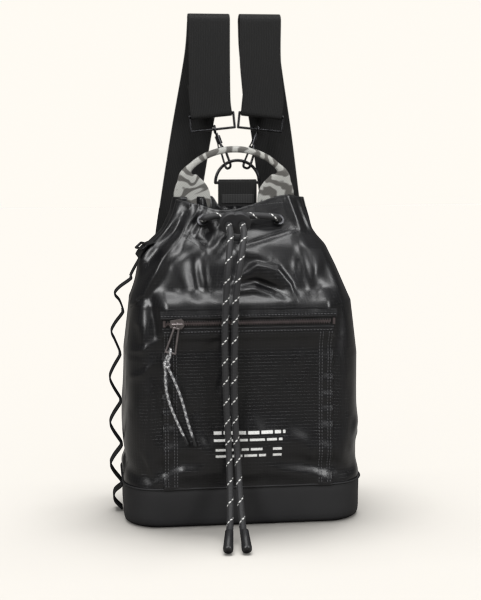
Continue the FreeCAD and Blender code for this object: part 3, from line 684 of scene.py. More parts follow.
def pleat(u, phase):
    """Uneven gathers round the neck, from -1 to 1."""
    wander = 0.35 * np.sin(2 * np.pi * 2 * u + 0.7) + 0.22 * np.sin(2 * np.pi * 5 * u + phase)
    return np.sin(2 * np.pi * 15 * u + 3.2 * wander)


# Folds pressed into the front: points as (x, z) in mm, height in mm,
# width on the left and right of the line in mm
FOLDS = [
    ([(-54, 404), (-66, 384), (-80, 355), (-99, 322), (-124, 293)], 9.0, 26.0, 5.0),
    ([(-66, 398), (-86, 360), (-107, 330), (-132, 308)], -7.0, 6.0, 9.0),
    ([(-80, 384), (-104, 352), (-126, 318), (-140, 290)], 3.0, 7.0, 5.0),
    ([(-83, 349), (-80, 325), (-74, 300), (-72, 278)], 3.6, 10.0, 12.0),
    ([(-52, 342), (-50, 318), (-46, 290)], 2.4, 8.0, 6.0),
    ([(-64, 345), (-64, 320), (-60, 292)], -2.6, 6.0, 7.0),
    ([(-8, 312), (16, 328), (40, 322), (54, 304), (60, 282)], 6.0, 15.0, 5.0),
    ([(-8, 306), (14, 308), (36, 300), (52, 288)], -6.0, 5.0, 5.0),
    ([(-10, 296), (10, 299), (32, 293)], 3.6, 4.0, 8.0),
    ([(-8, 344), (16, 340), (34, 333)], 2.6, 5.0, 8.0),
    ([(62, 278), (74, 300), (90, 330), (98, 352)], 3.4, 10.0, 14.0),
    ([(70, 360), (76, 330), (80, 300)], -2.4, 6.0, 5.0),
    ([(100, 345), (112, 318), (122, 290)], 3.0, 6.0, 8.0),
    ([(112, 300), (124, 262), (130, 225)], 3.0, 8.0, 9.0),
    ([(118, 236), (124, 190), (120, 140)], 2.4, 9.0, 8.0),
    ([(128, 130), (122, 96), (114, 66)], 2.2, 7.0, 8.0),
    ([(-118, 288), (-116, 270), (-112, 246)], -3.0, 5.0, 7.0),
    ([(-128, 282), (-124, 240), (-122, 205)], 3.0, 8.0, 7.0),
    ([(-122, 190), (-118, 150), (-124, 105)], 2.4, 8.0, 9.0),
    ([(-128, 96), (-118, 78), (-112, 62)], 2.4, 6.0, 6.0),
    ([(-112, 236), (-124, 226), (-138, 224)], 2.0, 4.0, 5.0),
    ([(-112, 210), (-126, 196), (-140, 190)], 1.8, 4.0, 5.0),
    ([(-28, 398), (-33, 372), (-46, 350)], -6.0, 9.0, 7.0),
    ([(-12, 360), (-20, 350), (-30, 340)], -4.0, 8.0, 8.0),
    ([(-44, 404), (-48, 384), (-58, 364)], 4.0, 5.0, 5.0),
    ([(60, 404), (66, 390), (74, 372)], 2.4, 5.0, 4.0),
    ([(72, 402), (80, 384), (88, 366)], -3.0, 4.0, 4.0),
    ([(2, 352), (34, 361), (70, 371)], -1.5, 3.0, 2.5),
    ([(-76, 371), (-62, 362), (-44, 352)], -1.4, 2.4, 2.4),
]


def fold_height(x, z, fold):
    """How far one fold lifts the cloth at points (x, z), in metres: steep on one side, gentle on the other."""
    points, height, left_width, right_width = fold
    points = np.array(points, float) * MM
    along = lengths_along(points)
    best = np.full(x.shape, 1e9)
    side = np.zeros(x.shape)
    share = np.zeros(x.shape)
    for i in range(len(points) - 1):
        a, b = points[i], points[i + 1]
        run = b - a
        t = np.clip(((x - a[0]) * run[0] + (z - a[1]) * run[1]) / np.dot(run, run), 0, 1)
        dx = x - a[0] - run[0] * t
        dz = z - a[1] - run[1] * t
        distance = np.hypot(dx, dz)
        near = distance < best
        best = np.where(near, distance, best)
        side = np.where(near, run[0] * dz - run[1] * dx, side)
        share = np.where(near, (along[i] + (along[i + 1] - along[i]) * t) / along[-1], share)
    width = np.where(side < 0, left_width, right_width) * MM
    taper = np.sin(np.pi * (0.12 + 0.76 * share)) ** 0.8
    return height * MM * np.exp(-(best / width) ** 2) * taper


def add_folds(grid):
    """Presses the folds into the front half of the cloth."""
    x, y, z = grid[:, :, 0], grid[:, :, 1], grid[:, :, 2]
    lift = sum(fold_height(x, z, fold) for fold in FOLDS)
    rng = np.random.default_rng(11)
    out = np.stack([x * 0.6, np.where(y < 0, -0.08, 0.08), np.zeros_like(x)], axis=2)
    out /= np.linalg.norm(out, axis=2, keepdims=True)
    front = 1 - step_up(-0.030, 0.012, y)
    for _ in range(SMALL_WRINKLES):
        a = rng.uniform((-0.15, 0.06), (0.15, 0.38))
        turn = rng.normal(math.pi / 2, 0.5)
        run = np.array((math.cos(turn), math.sin(turn))) * rng.uniform(0.012, 0.035)
        wide = rng.uniform(3.5, 7)
        small = ([tuple(a / MM), tuple((a + run) / MM)], rng.normal(0, 1.1), wide, wide)
        lift = lift + fold_height(x, z, small)
    grid += out * (lift * front)[:, :, None]
    return grid


def refine(grid, rows, columns):
    """A finer grid through a coarse one that closes on itself sideways."""
    old_rows, old_columns = grid.shape[:2]
    at_row = np.linspace(0, old_rows - 1, rows)
    at_column = np.arange(columns) * old_columns / columns
    taller = catmull(grid, at_row, 0, False)
    return catmull(taller, at_column, 1, True)


def catmull(grid, at, axis, closed):
    grid = np.moveaxis(grid, axis, 0)
    count = grid.shape[0]
    base = np.floor(at).astype(int)
    t = (at - base)[:, None, None]
    picks = []
    for offset in (-1, 0, 1, 2):
        index = base + offset
        index = index % count if closed else np.clip(index, 0, count - 1)
        picks.append(grid[index])
    p0, p1, p2, p3 = picks
    fine = 0.5 * (2 * p1 + (p2 - p0) * t + (2 * p0 - 5 * p1 + 4 * p2 - p3) * t ** 2
                  + (3 * p1 - p0 - 3 * p2 + p3) * t ** 3)
    return np.moveaxis(fine, 0, axis)


def body_start():
    """The gathered shape that the cloth starts from, and the wider shape that it was cut to."""
    heights = SEAM_Z + (RIM_Z - SEAM_Z) * np.linspace(0, 1, UPWARD)
    start, cut = [], []
    u = np.arange(AROUND) / AROUND
    for row, z in enumerate(heights):
        points, outward, _ = ring_points(z, AROUND)
        gather = float(step_up(0.300, 0.385, z))
        front = np.clip(-outward[:, 1], 0, 1)
        deep = 0.0055 * gather * (1 - 0.95 * front)
        wave_in = pleat(u, 1.3)
        start.append(points + outward * (wave_in * deep - 0.6 * deep)[:, None])
        wide, _, _ = ring_points(min(z, 0.215), AROUND)
        wide = wide.copy()
        share = float(step_up(0.26, 0.40, z))
        flat = points * (1 - 0.75 * share) + wide * (0.75 * share)
        flat[:, 2] = z * (1 + 0.02 * share)
        cut.append(flat)
    return np.array(start), np.array(cut)


def relax_cloth(start, cut):
    """Lets the cloth buckle: pinned at the base seam and the neck, under a small pressure from inside."""
    rows, columns = start.shape[:2]
    uv = np.zeros((rows, columns + 1, 2))
    rng = np.random.default_rng(7)
    obj = grid_object("body_cloth", start + rng.normal(0, 0.0004, start.shape), uv, closed_u=True)
    obj.shape_key_add(name="Basis")
    key = obj.shape_key_add(name="cut")
    key.data.foreach_set("co", cut.reshape(-1))
    key.value = 0.0
    pins = obj.vertex_groups.new(name="pins")
    for row in range(rows):
        z = start[row, 0, 2]
        weight = 1.0 if row < 2 or row >= rows - 3 else 0.0
        weight = max(weight, 0.35 * float(step_up(0.372, 0.40, z)))
        if weight > 0:
            pins.add(list(range(row * columns, (row + 1) * columns)), weight, "REPLACE")
    cloth = obj.modifiers.new("cloth", "CLOTH")
    settings = cloth.settings
    settings.quality = 5
    settings.mass = 0.15
    settings.tension_stiffness = 12
    settings.compression_stiffness = 12
    settings.shear_stiffness = 4
    settings.bending_stiffness = 0.12
    settings.air_damping = 2.0
    settings.vertex_group_mass = "pins"
    settings.pin_stiffness = 1.0
    settings.use_pressure = True
    settings.uniform_pressure_force = 0.8
    settings.effector_weights.gravity = 0.1
    settings.rest_shape_key = key
    cloth.collision_settings.use_collision = False
    cloth.point_cache.frame_start = 1
    cloth.point_cache.frame_end = CLOTH_FRAMES
    for number in range(1, CLOTH_FRAMES + 1):
        scene.frame_set(number)
    evaluated = obj.evaluated_get(bpy.context.evaluated_depsgraph_get())
    mesh = evaluated.to_mesh()
    result = np.array([v.co for v in mesh.vertices], float).reshape(rows, columns, 3)
    evaluated.to_mesh_clear()
    data = obj.data
    bpy.data.objects.remove(obj)
    bpy.data.meshes.remove(data)
    scene.frame_set(1)
    move = result - start
    size = np.linalg.norm(move, axis=2, keepdims=True)
    move *= np.where(size > CLOTH_MOVE_CAP, CLOTH_MOVE_CAP / np.maximum(size, 1e-9), 1.0)
    for _ in range(3):
        move = (np.roll(move, 1, axis=1) + 2 * move + np.roll(move, -1, axis=1)) / 4
        move[1:-1] = (move[:-2] + 2 * move[1:-1] + move[2:]) / 4
    return start + move


def settle(grid):
    """Holds the cloth flat behind the zipper and clear of the cords in front."""
    x, y, z = grid[:, :, 0], grid[:, :, 1], grid[:, :, 2]
    front = y < -0.02
    near_zip = 1 - step_up(0.012, 0.040, np.abs(z - ZIP_CENTRE))
    inside = 1 - step_up(0.098, 0.118, np.abs(x - 0.003))
    mask = near_zip * inside * front
    y[:] = y * (1 - mask) + ZIP_SKIN_Y * mask
    over = np.clip(SKIN_LIMIT_Y - y, 0, None) * front
    y[:] = y + over * 0.75
    inner = np.abs(x) > 0.158
    x[:] = np.where(inner, np.sign(x) * (0.158 + (np.abs(x) - 0.158) * 0.3), x)
    back = y > 0.0815
    y[:] = np.where(back, 0.0815 + (y - 0.0815) * 0.2, y)
    return grid


def finish_body(grid):
    """Adds the tuck at the base seam and the collar's folded inner side."""
    lower, _, _ = ring_points(SEAM_Z, grid.shape[1])
    tuck = lower.copy()
    tuck[:, 2] = SEAM_Z - 0.004
    tuck[:, :2] *= 0.992
    rim = grid[-1]
    centre = rim.mean(axis=0)
    inner = []
    for drop, share, rise in ((0.0, 0.994, 0.0022), (0.0, 0.975, 0.0026), (0.002, 0.955, 0.0008),
                              (0.012, 0.935, 0.0), (0.028, 0.925, 0.0), (0.045, 0.93, 0.0)):
        ring = centre + (rim - centre) * share
        ring[:, 2] = rim[:, 2] - drop + rise
        inner.append(ring)
    return np.concatenate([[tuck], grid, inner])


def body_uv(grid):
    rows, columns = grid.shape[:2]
    around = BODY_GIRTH
    rise = np.linalg.norm(np.diff(grid, axis=0), axis=2).mean(axis=1)
    height = np.concatenate([[0], np.cumsum(rise)])
    uv = np.zeros((rows, columns + 1, 2))
    uv[:, :, 0] = np.linspace(0, around, columns + 1)[None, :]
    uv[:, :, 1] = height[:, None]
    return uv


def fill_shoulder(grid):
    """The left shoulder stands out a little, where the side webbing lies on it."""
    x, y, z = grid[:, :, 0], grid[:, :, 1], grid[:, :, 2]
    x[:] = x - 0.009 * np.exp(-((z - 0.336) / 0.030) ** 2) * (1 - step_up(-0.105, -0.055, x))
    return grid


def shape_rim(grid):
    """The front of the rim dips at the middle and the ends stand up."""
    z = grid[:, :, 2]
    x = grid[:, :, 0]
    y = grid[:, :, 1]
    top = step_up(0.36, RIM_Z, z)
    front = 1 - step_up(-0.02, 0.01, y)
    dip = 0.014 * np.exp(-((x + 0.020) / 0.040) ** 2) - 0.005 * np.exp(-((x - 0.058) / 0.022) ** 2)
    z[:] = z - dip * top * front
    behind = step_up(0.015, 0.028, y) * (1 - step_up(0.024, 0.036, np.abs(x - 0.004)))
    z[:] = z - 0.013 * top * behind
    return grid


def make_body(mats):
    start, cut = body_start()
    grid = relax_cloth(start, cut)
    grid = refine(grid, FINE_UPWARD, FINE_AROUND)
    grid = settle(add_folds(grid))
    grid = shape_rim(fill_shoulder(grid))
    grid = finish_body(grid)
    body = grid_object("bag_body", grid, body_uv(grid), closed_u=True)
    paint(body, mats["ripstop"])
    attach(body, "root")
    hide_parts("front_panel", "back_panel", "left_side_panel", "right_side_panel", "collar",
                "rim_binding", "channel_facing", "channel_cord", "lining", "zip_facing")
    mesh = body.data
    points = [v.co.copy() for v in mesh.vertices]
    polygons = [tuple(p.vertices) for p in mesh.polygons]
    return BVHTree.FromPolygons(points, polygons)


def front_skin(tree, x, z, default=FRONT_Y):
    hit, normal, _, _ = tree.ray_cast(Vector((x, -0.5, z)), Vector((0, 1, 0)))
    if hit is None or hit.y > 0.0:
        return default
    return hit.y


# ---------------------------------------------------------------- base

def make_base(mats):
    """The matte base: a slightly swollen band with a rounded lower edge and a flat bottom."""
    rows = []
    profile = [(0.0502, 0.0012), (0.0495, 0.0002), (0.047, -0.0002), (0.040, -0.0002), (0.030, 0.0),
               (0.020, 0.0), (0.012, 0.0), (0.006, 0.0004), (0.0028, 0.0014), (0.0008, 0.0034),
               (0.0, 0.0065), (0.0, 0.045), (0.0, 0.075)]
    for height, inset in profile:
        points, _, _ = ring_points(0.02, AROUND, inset)
        points[:, 2] = height
        rows.append(points)
    grid = np.array(rows)
    angle = np.arctan2(grid[:, :, 1], grid[:, :, 0])
    swell = 0.0006 * np.sin(9 * angle) * step_up(0.004, 0.02, grid[:, :, 2])
    grid[:, :, 0] *= 1 + swell
    uv = body_uv(grid)
    base = grid_object("base_cover", grid[::-1], uv, closed_u=True)
    cap_bottom(base, AROUND)
    paint(base, mats["base"])
    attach(base, "root")
    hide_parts("base_band", "bottom_panel")
    ring, _, _ = ring_points(0.05, AROUND, -0.0012)
    ring[:, 2] = 0.0505
    loop = np.concatenate([ring, ring[:2]])
    piping = braided_tube("base_piping", loop, 0.0022, strands=3, step=0.004, relief=0.02)
    paint(piping, mats["base"])
    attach(piping, "root")


def cap_bottom(obj, ring):
    bm = bmesh.new()
    bm.from_mesh(obj.data)
    bm.verts.ensure_lookup_table()
    bm.faces.new([bm.verts[i] for i in range(ring)])
    bmesh.ops.recalc_face_normals(bm, faces=bm.faces)
    bm.to_mesh(obj.data)
    bm.free()
    obj.data.polygons.foreach_set("use_smooth", [True] * len(obj.data.polygons))


# ---------------------------------------------------------------- stitches

def stitch_row(name, line, pitch=0.0042, length=0.0030, radius=0.00050):
    """A row of raised stitches along a line that lies on the cloth."""
    line = resampled(np.array(line, float), pitch)
    points = []
    faces = []
    for i in range(len(line) - 1):
        a = line[i]
        direction = unit(line[i + 1] - line[i])
        b = a + direction * length
        first = unit(np.cross(direction, (0.2, 0.9, 0.35)))
        second = np.cross(direction, first)
        base = len(points)
        inset = direction * length * 0.25
        for centre, share in ((a, 0.35), (a + inset, 1.0), (b - inset, 1.0), (b, 0.35)):
            for k in range(6):
                angle = math.pi * k / 3
                points.append(centre + (first * math.cos(angle) + second * math.sin(angle)) * radius * share)
        for ring in range(3):
            for k in range(6):
                k2 = (k + 1) % 6
                faces.append((base + ring * 6 + k, base + ring * 6 + k2, base + ring * 6 + 6 + k2,
                              base + ring * 6 + 6 + k))
        faces.append(tuple(base + k for k in range(5, -1, -1)))
        faces.append(tuple(base + 18 + k for k in range(6)))
    return new_object(name, points, faces)


def add_stitches(name, lines, mats, slot, body="root", **sizes):
    rows = [stitch_row(name + str(i), line, **sizes) for i, line in enumerate(lines)]
    piece = paint(join(name, rows), mats["thread"])
    piece.data.polygons.foreach_set("use_smooth", [True] * len(piece.data.polygons))
    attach(piece, body)
    return piece


# ---------------------------------------------------------------- front pocket

def make_pocket(mats, tree):
    """The pocket's outer panel, sewn down both sides, with small puckers along the seams."""
    columns, rows = 150, 140
    xs = np.linspace(POCKET_LEFT, POCKET_RIGHT, columns)
    zs = np.linspace(SEAM_Z - 0.001, POCKET_TOP, rows)
    grid = np.zeros((rows, columns, 3))
    for r, z in enumerate(zs):
        for c, x in enumerate(xs):
            skin_y = front_skin(tree, x, z)
            edge = min(x - POCKET_LEFT, POCKET_RIGHT - x)
            from_side = float(step_up(0.0, 0.020, edge))
            near_edge = 1 - float(step_up(0.004, 0.026, edge))
            pucker = 0.0012 * math.sin(z / 0.0042 + 2.4 * math.sin(z * 40)) * near_edge
            belly = 0.0012 * from_side * math.sin(math.pi * (z - SEAM_Z) / (POCKET_TOP - SEAM_Z))
            top = float(step_up(0.236, 0.247, z))
            y = skin_y - 0.0010 - belly - pucker - 0.0006 * from_side
            y = max(y, -0.0868)
            y = y * (1 - top) + (-0.0843) * top
            grid[r, c] = (x, y, z)
    grid[:, :, 1] = blurred(grid[:, :, 1])
    over = grid[-1].copy()
    over[:, 1] += 0.0006
    over[:, 2] += 0.0007
    under = grid[-1].copy()
    under[:, 1] += 0.0014
    under[:, 2] += 0.0002
    tuck = grid[-1].copy()
    tuck[:, 1] += 0.0014
    tuck[:, 2] -= 0.006
    grid = np.concatenate([grid, [over, under, tuck]])
    left = grid[:, :1].copy()
    left[:, :, 1] += 0.0022
    right = grid[:, -1:].copy()
    right[:, :, 1] += 0.0022
    grid = np.concatenate([left, grid, right], axis=1)
    uv = np.stack([grid[:, :, 0], grid[:, :, 2]], axis=2)
    pocket = grid_object("pocket_front", grid, uv)
    paint(pocket, mats["ripstop"])
    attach(pocket, "root")
    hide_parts("pocket_panel")
    mesh = pocket.data
    points = [v.co.copy() for v in mesh.vertices]
    return BVHTree.FromPolygons(points, [tuple(p.vertices) for p in mesh.polygons])


def blurred(values):
    """One light smoothing pass over a grid of numbers."""
    padded = np.pad(values, 1, mode="edge")
    total = sum(padded[1 + a:padded.shape[0] - 1 + a, 1 + b:padded.shape[1] - 1 + b]
                for a in (-1, 0, 1) for b in (-1, 0, 1))
    return total / 9


def on_pocket(tree, x, z, lift=0.0003):
    return (x, front_skin(tree, x, z, -0.084) - lift, z)


def make_zipper(mats, skin_tree, pocket_tree):
    """The folded edge above the zipper and its stitch rows, with stitch rows on the collar and along the
    pocket's top and sides.
    """
    columns = 120
    xs = np.linspace(POCKET_LEFT - 0.002, POCKET_RIGHT + 0.003, columns)
    rows = []
    for z, y in ((0.2650, -0.0832), (0.2646, -0.0840), (0.2652, -0.0844), (0.2668, -0.0844), (0.2692, -0.0841),
                 (0.2722, -0.0834), (0.2752, -0.0823)):
        row = []
        for x in xs:
            ripple = 0.0003 * math.sin(x / 0.009) + 0.0002 * math.sin(x / 0.0041 + 1)
            low = front_skin(skin_tree, x, z) if z > 0.2755 else y
            row.append((x, low - ripple if z < 0.2755 else low + 0.0003, z))
        rows.append(row)
    grid = np.array(rows)
    uv = np.stack([grid[:, :, 0], grid[:, :, 2]], axis=2)
    welt = paint(grid_object("zip_welt", grid, uv), mats["ripstop"])
    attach(welt, "root")
    collar_rows = []
    for start, end in (((-0.006, 0.352), (0.070, 0.374)), ((-0.004, 0.3475), (0.073, 0.3695)),
                       ((0.004, 0.399), (0.054, 0.404)), ((-0.075, 0.371), (-0.044, 0.350)),
                       ((-0.078, 0.366), (-0.047, 0.345))):
        at = np.linspace(0, 1, 40)[:, None]
        flat = np.array(start) * (1 - at) + np.array(end) * at
        collar_rows.append([(x, front_skin(skin_tree, x, z, -0.05) - 0.0003, z) for x, z in flat])
    add_stitches("collar_stitches", collar_rows, mats, "coated_ripstop",
                 pitch=0.0036, length=0.0026, radius=0.0004)
    lines = [[(x, -0.0845 - 0.0003 * math.sin(x / 0.009), 0.2690) for x in xs]]
    top_row = np.linspace(POCKET_LEFT + 0.002, POCKET_RIGHT - 0.002, 90)
    lines.append([on_pocket(pocket_tree, x, 0.2492) for x in top_row])
    heights = np.linspace(0.053, 0.248, 90)
    for x in (POCKET_LEFT + 0.003, POCKET_LEFT + 0.0065, POCKET_LEFT + 0.014, POCKET_LEFT + 0.0175,
              POCKET_RIGHT - 0.003, POCKET_RIGHT - 0.0065, POCKET_RIGHT - 0.014, POCKET_RIGHT - 0.0175):
        lines.append([on_pocket(pocket_tree, x, z) for z in heights])
    add_stitches("pocket_stitches", lines, mats, "coated_ripstop")


def make_print(mats, tree):
    """Plain bars in place of the printed lettering and mark."""
    points = []
    faces = []

    def patch(low_x, high_x, low_z, high_z):
        cells = max(2, int((high_x - low_x) / 0.002))
        base = len(points)
        for k in range(cells + 1):
            x = low_x + (high_x - low_x) * k / cells
            for z in (low_z, high_z):
                points.append(on_pocket(tree, x, z, 0.00025))
        for k in range(cells):
            a = base + 2 * k
            faces.append((a, a + 2, a + 3, a + 1))

    bars = [(-0.041, 0.049, 0.1190, 0.0040), (-0.041, 0.045, 0.1105, 0.0030), (-0.039, 0.024, 0.0985, 0.0030),
            (-0.039, 0.024, 0.0905, 0.0030)]
    rng = random.Random(3)
    for low, high, z, tall in bars:
        x = low
        while x < high - 0.003:
            width = rng.uniform(0.007, 0.019)
            width = min(width, high - x)
            patch(x, x + width, z, z + tall)
            x += width + 0.0026
    patch(0.033, 0.044, 0.0905, 0.0935)
    patch(0.033, 0.044, 0.0985, 0.1015)
    mark = paint(new_object("print_bars", points, faces, smooth=False), mats["print"])
    solid = mark.modifiers.new("thick", "SOLIDIFY")
    solid.thickness = 0.00012
    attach(mark, "root")


# ---------------------------------------------------------------- straps

def strap_path(side):
    """Stations of a strap: round its ring, over the hanging point and down the back."""
    tilt = math.radians(6.0) * -side
    wide = np.array((math.cos(tilt), 0, math.sin(tilt)))
    up = np.array((-math.sin(tilt), 0, math.cos(tilt)))
    bar = np.array((-0.0302 if side < 0 else 0.0357, 0.045, 0.514))
    back = np.array((0, 1.0, 0))
    across = np.array((1.0, 0, 0))
    radius = 0.00325
    stations = [(bar + back * radius + up * d, wide) for d in (0.040, 0.020, 0.005)]
    for degrees in range(0, -181, -30):
        a = math.radians(degrees)
        stations.append((bar + back * radius * math.cos(a) + up * radius * math.sin(a), wide))
    stations.append((bar - back * radius + up * 0.020, wide))
    top_x = -0.033 if side < 0 else 0.0335
    stations.append((np.array((top_x, 0.041, 0.585)), across))
    peg = np.array((top_x, 0.051, 0.632))
    for degrees in range(180, -1, -30):
        a = math.radians(degrees)
        stations.append((peg + back * 0.010 * math.cos(a) + np.array((0, 0, 1)) * 0.010 * math.sin(a), across))
    rest = [(37, 66, 585), (54, 78, 487), (68, 91, 397), (76, 98, 340),
            (85, 98, 255), (94, 98, 170), (101, 93, 100),
            (104, 82.6, 66), (105, 81.8, 40), (105, 81.6, 22)]
    for x, y, z in rest:
        stations.append((np.array((side * x, y, z)) * MM, across))
    return stations


def make_straps(mats):
    for hand, side in (("left", -1), ("right", 1)):
        stations = strap_path(side)
        strap = band("strap_webbing_" + hand, [s[0] for s in stations], [s[1] for s in stations], 0.054, 0.0021,
                     step=0.0035)
        paint(strap, mats["webbing"])
        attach(strap, "root")
        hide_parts("shoulder_strap_" + hand)


def make_d_ring_loop(mats):
    """Webbing folded over the D-ring's straight bar, with a plain woven label across its front."""
    x, y, z = 0.004, 0.045, 0.4255
    radius = 0.0034
    across = (1, 0, 0)
    stations = [(x, y - radius - 0.0006, 0.392), (x, y - radius - 0.0003, 0.408)]
    for degrees in range(180, -1, -30):
        a = math.radians(degrees)
        stations.append((x, y + radius * math.cos(a), z + radius * math.sin(a)))
    stations += [(x, y + radius, 0.408), (x, y + 0.0056, 0.386), (x, y + 0.0088, 0.372)]
    loop = band("ring_loop_webbing", stations, [across] * len(stations), 0.0505, 0.0019, step=0.0012)
    paint(loop, mats["webbing"])
    label_line = [(x, y - radius - 0.0021, 0.3985), (x, y - radius - 0.0022, 0.4045),
                  (x, y - radius - 0.0021, 0.4105)]
    label = band("woven_label", label_line, [across] * 3, 0.043, 0.0007, step=0.001)
    paint(label, mats["label"])
    for piece, node in ((loop, "d_ring_loop"), (label, "loop_label")):
        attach(piece, "root")
        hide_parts(node)


def make_handle(mats):
    """A grab handle in one piece: flat pads at the rim that narrow into a round arched grip."""
    centre_x, base_z, base_y, lean = -0.002, 0.405, 0.032, math.radians(7.5)
    half, rise = 0.075, 0.065

    def place(x, h):
        return np.array((centre_x + x, base_y - math.sin(lean) * h, base_z + math.cos(lean) * h))

    line = []
    sizes = []
    pad_steps = [(0.054, -0.012, 0.046, 0.0044), (0.055, 0.002, 0.048, 0.0050), (0.0575, 0.013, 0.044, 0.0062),
                 (0.0605, 0.024, 0.032, 0.0074), (0.0625, 0.0315, 0.020, 0.0084)]
    for x, h, wide, thick in pad_steps:
        line.append(place(-x, h))
        sizes.append((wide, thick))
    for degrees in range(36, 145, 6):
        a = math.radians(180 - degrees)
        line.append(place(half * math.cos(a), rise * math.sin(a)))
        sizes.append((0.0082, 0.0080) if 40 < degrees < 140 else (0.0110, 0.0084))
    for x, h, wide, thick in reversed(pad_steps):
        line.append(place(x, h))
        sizes.append((wide, thick))
    data = np.concatenate([np.array(line), np.array(sizes)], axis=1)
    data = resampled(smooth_path(data, 8), 0.0016)
    centres = data[:, :3]
    tangent = np.gradient(centres, axis=0)
    along = lengths_along(centres)
    normal = np.array((0, -math.cos(lean), -math.sin(lean)))
    ring = 28
    grid = []
    uv = []
    for i in range(len(centres)):
        t = unit(tangent[i])
        w = unit(np.cross(normal, t))
        row = []
        uv_row = []
        for k in range(ring):
            angle = 2 * math.pi * k / ring
            c, s = math.cos(angle), math.sin(angle)
            across = math.copysign(abs(c) ** 0.75, c) * data[i, 3] / 2
            out = math.copysign(abs(s) ** 0.75, s) * data[i, 4] / 2
            row.append(centres[i] + w * across + normal * out)
            uv_row.append((across, along[i]))
        grid.append(row)
        uv.append(uv_row + [uv_row[0]])
    handle = grid_object("grab_handle", grid, uv, closed_u=True)
    cap_ends(handle, ring, len(centres))
    paint(handle, mats["handle"])
    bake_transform(handle)
    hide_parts("handle_grip", "handle_pad_left", "handle_pad_right")


# ---------------------------------------------------------------- left side webbing

def make_daisy_chain(mats):
    """Webbing down the left side, sewn flat between standing loops."""
    y = 8.0
    valleys = [(-138.0, 308), (-149.0, 264), (-153.4, 208), (-153.4, 146), (-153.4, 88), (-153.4, 36)]
    peaks = [(-158.5, 286), (-163.5, 237), (-166.4, 177), (-166.8, 117), (-167.0, 62)]
    points = [(-118.5, y, 345), (-130.5, y, 325)]
    for index, (valley_x, valley_z) in enumerate(valleys):
        points.append((valley_x - 0.3, y, valley_z + 2.5))
        points.append((valley_x - 0.3, y, valley_z - 2.5))
        if index < len(peaks):
            peak_x, peak_z = peaks[index]
            next_z = valleys[index + 1][1]
            points.append(((valley_x + 3 * peak_x) / 4, y, (valley_z + 1.6 * peak_z) / 2.6))
            points.append((peak_x - 0.8, y, peak_z))
            points.append(((valley_x + 3 * peak_x) / 4, y, (next_z + 1.6 * peak_z) / 2.6))
    points += [(-163, y, 25), (-163.5, y, 14), (-156, y, 4.5), (-153.4, y, 2.2)]
    stations = [np.array(p) * MM for p in points]
    chain = band("daisy_chain_webbing", stations, [(0, 1, 0)] * len(stations), 0.022, 0.0015, step=0.0015)
    paint(chain, mats["webbing"])
    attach(chain, "root")
    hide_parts("daisy_chain")
    lines = []
    for valley_x, valley_z in valleys:
        for dz in (-1.6, 1.6):
            lines.append([np.array((valley_x - 1.4, y + t, valley_z + dz)) * MM for t in np.linspace(-9, 9, 8)])
    add_stitches("daisy_bar_tacks", lines, mats, "webbing", pitch=0.0017, length=0.0014)


def make_side_tab(mats):
    wide = unit((0.35, -0.93, 0))
    points = [(-110.5, -34, 357), (-120, -32, 352.5), (-127, -31, 345), (-131, -30, 338)]
    stations = [np.array(p) * MM for p in points]
    tab = band("side_tab_webbing", stations, [wide] * 4, 0.016, 0.0015, step=0.001)
    paint(tab, mats["webbing"])
    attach(tab, "root")
    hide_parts("side_tab")


def make_back_pad(mats):
    """A crowned pad with sewn channels, over the back panel."""
    low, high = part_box("back_pad")
    columns, rows = 70, 60
    xs = np.linspace(low.x, high.x, columns)
    zs = np.linspace(low.z, high.z, rows)
    front = np.zeros((rows, columns, 3))
    for r, z in enumerate(zs):
        for c, x in enumerate(xs):
            edge = min(x - low.x, high.x - x, z - low.z, high.z - z)
            crown = math.sqrt(float(step_up(0.0, 0.016, edge)))
            channel = min(abs(x + 0.030), abs(x - 0.030))
            crown *= 1 - 0.55 * math.exp(-(channel / 0.003) ** 2)
            front[r, c] = (x, low.y + 0.0004 + 0.0062 * crown, z)
    rim = front.copy()
    rim[:, :, 1] = low.y - 0.001
    uv = np.stack([front[:, :, 0], front[:, :, 2]], axis=2)
    pad = grid_object("back_pad_cover", front, uv)
    solid = pad.modifiers.new("thick", "SOLIDIFY")
    solid.thickness = 0.001
    solid.offset = 1.0
    paint(pad, mats["pad"])
    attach(pad, "root")
    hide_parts("back_pad")


# ---------------------------------------------------------------- CAD nodes that stay visible

def dress_nodes(mats):
    looks = {
        "metal": ["eyelets", "d_ring", "rect_ring_left", "rect_ring_right", "hook_body_left", "hook_body_right",
                  "hook_gate_left", "hook_gate_right", "strap_adjuster_left", "strap_adjuster_right",
                  "side_tab_slide"],
        "slider": ["zip_slider", "zip_puller"],
        "teeth": ["zip_teeth_lower", "zip_teeth_upper", "zip_stops"],
        "tape": ["zip_tape_lower", "zip_tape_upper"],
        "stopper": ["cord_stopper"],
        "base": ["base_board"],
    }
    for look, names in looks.items():
        for name in names:
            paint(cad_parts[name], mats[look])


# ---------------------------------------------------------------- stage

def area_light(name, place, target, size, power, colour=(1, 1, 1)):
    data = bpy.data.lights.new(name, "AREA")
    data.shape = "RECTANGLE"
    data.size, data.size_y = size
    data.energy = power
    data.color = colour
    light = bpy.data.objects.new(name, data)
    light.location = place
    light.rotation_euler = (Vector(target) - Vector(place)).to_track_quat("-Z", "Y").to_euler()
    scene.collection.objects.link(light)
    return light


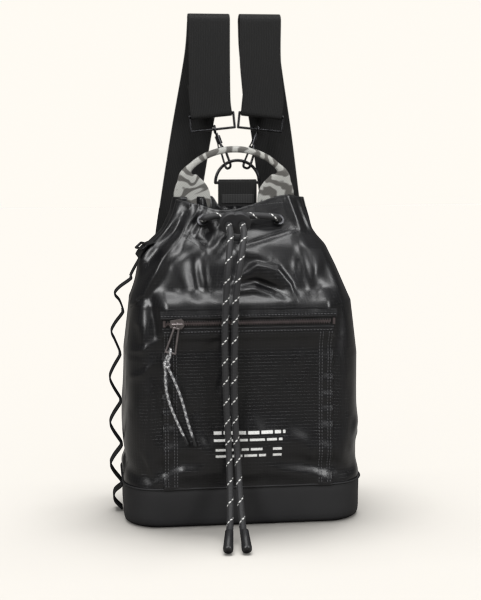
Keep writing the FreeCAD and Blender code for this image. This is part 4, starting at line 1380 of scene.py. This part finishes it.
def make_stage():
    scene.view_settings.view_transform = "Standard"
    corners = [(-6, -6, -0.0002), (6, -6, -0.0002), (6, 6, -0.0002), (-6, 6, -0.0002)]
    floor = new_object("floor", corners, [(0, 1, 2, 3)], smooth=False)
    s = Shader("floor_paper", Roughness=0.9, Specular_IOR_Level=0.1)
    s.bsdf.inputs["Base Color"].default_value = (0.93, 0.90, 0.85, 1)
    paint(floor, s.material)
    floor.is_shadow_catcher = True
    world = bpy.data.worlds.new("studio")
    world.use_nodes = True
    tree = world.node_tree
    seen = tree.nodes["Background"]
    seen.inputs[0].default_value = (1.0, 0.965, 0.90, 1)
    seen.inputs[1].default_value = 1.0
    lit = tree.nodes.new("ShaderNodeBackground")
    lit.inputs[0].default_value = (1.0, 0.98, 0.95, 1)
    lit.inputs[1].default_value = 0.13
    path = tree.nodes.new("ShaderNodeLightPath")
    mix = tree.nodes.new("ShaderNodeMixShader")
    tree.links.new(path.outputs["Is Camera Ray"], mix.inputs[0])
    tree.links.new(lit.outputs[0], mix.inputs[1])
    tree.links.new(seen.outputs[0], mix.inputs[2])
    tree.links.new(mix.outputs[0], tree.nodes["World Output"].inputs[0])
    scene.world = world
    keys = [area_light("key_left", (-1.00, -1.35, 1.30), (0, 0, 0.25), (0.55, 1.1), 24),
            area_light("key_right", (1.10, -1.20, 1.10), (0, 0, 0.25), (0.45, 1.1), 17),
            area_light("top_front", (0.0, -0.95, 1.95), (0, 0, 0.2), (1.0, 0.35), 12)]
    area_light("top_back", (0.0, 0.25, 2.0), (0, 0, 0.1), (1.4, 0.8), 15)
    keep_off_floor(keys, floor)


def keep_off_floor(lights, floor):
    """These lights leave the floor alone, so that only the overhead light casts a shadow on it."""
    skipped = bpy.data.collections.new("unlit")
    skipped.objects.link(floor)
    skipped.collection_objects[0].light_linking.link_state = "EXCLUDE"
    for light in lights:
        light.light_linking.receiver_collection = skipped


def main():
    add_camera()
    mats = make_materials()
    make_rope(mats)
    make_pull_cord(mats)
    skin_tree = make_body(mats)
    make_base(mats)
    pocket_tree = make_pocket(mats, skin_tree)
    make_zipper(mats, skin_tree, pocket_tree)
    make_print(mats, pocket_tree)
    make_straps(mats)
    make_d_ring_loop(mats)
    make_handle(mats)
    make_daisy_chain(mats)
    make_side_tab(mats)
    make_back_pad(mats)
    dress_nodes(mats)
    make_stage()


main()
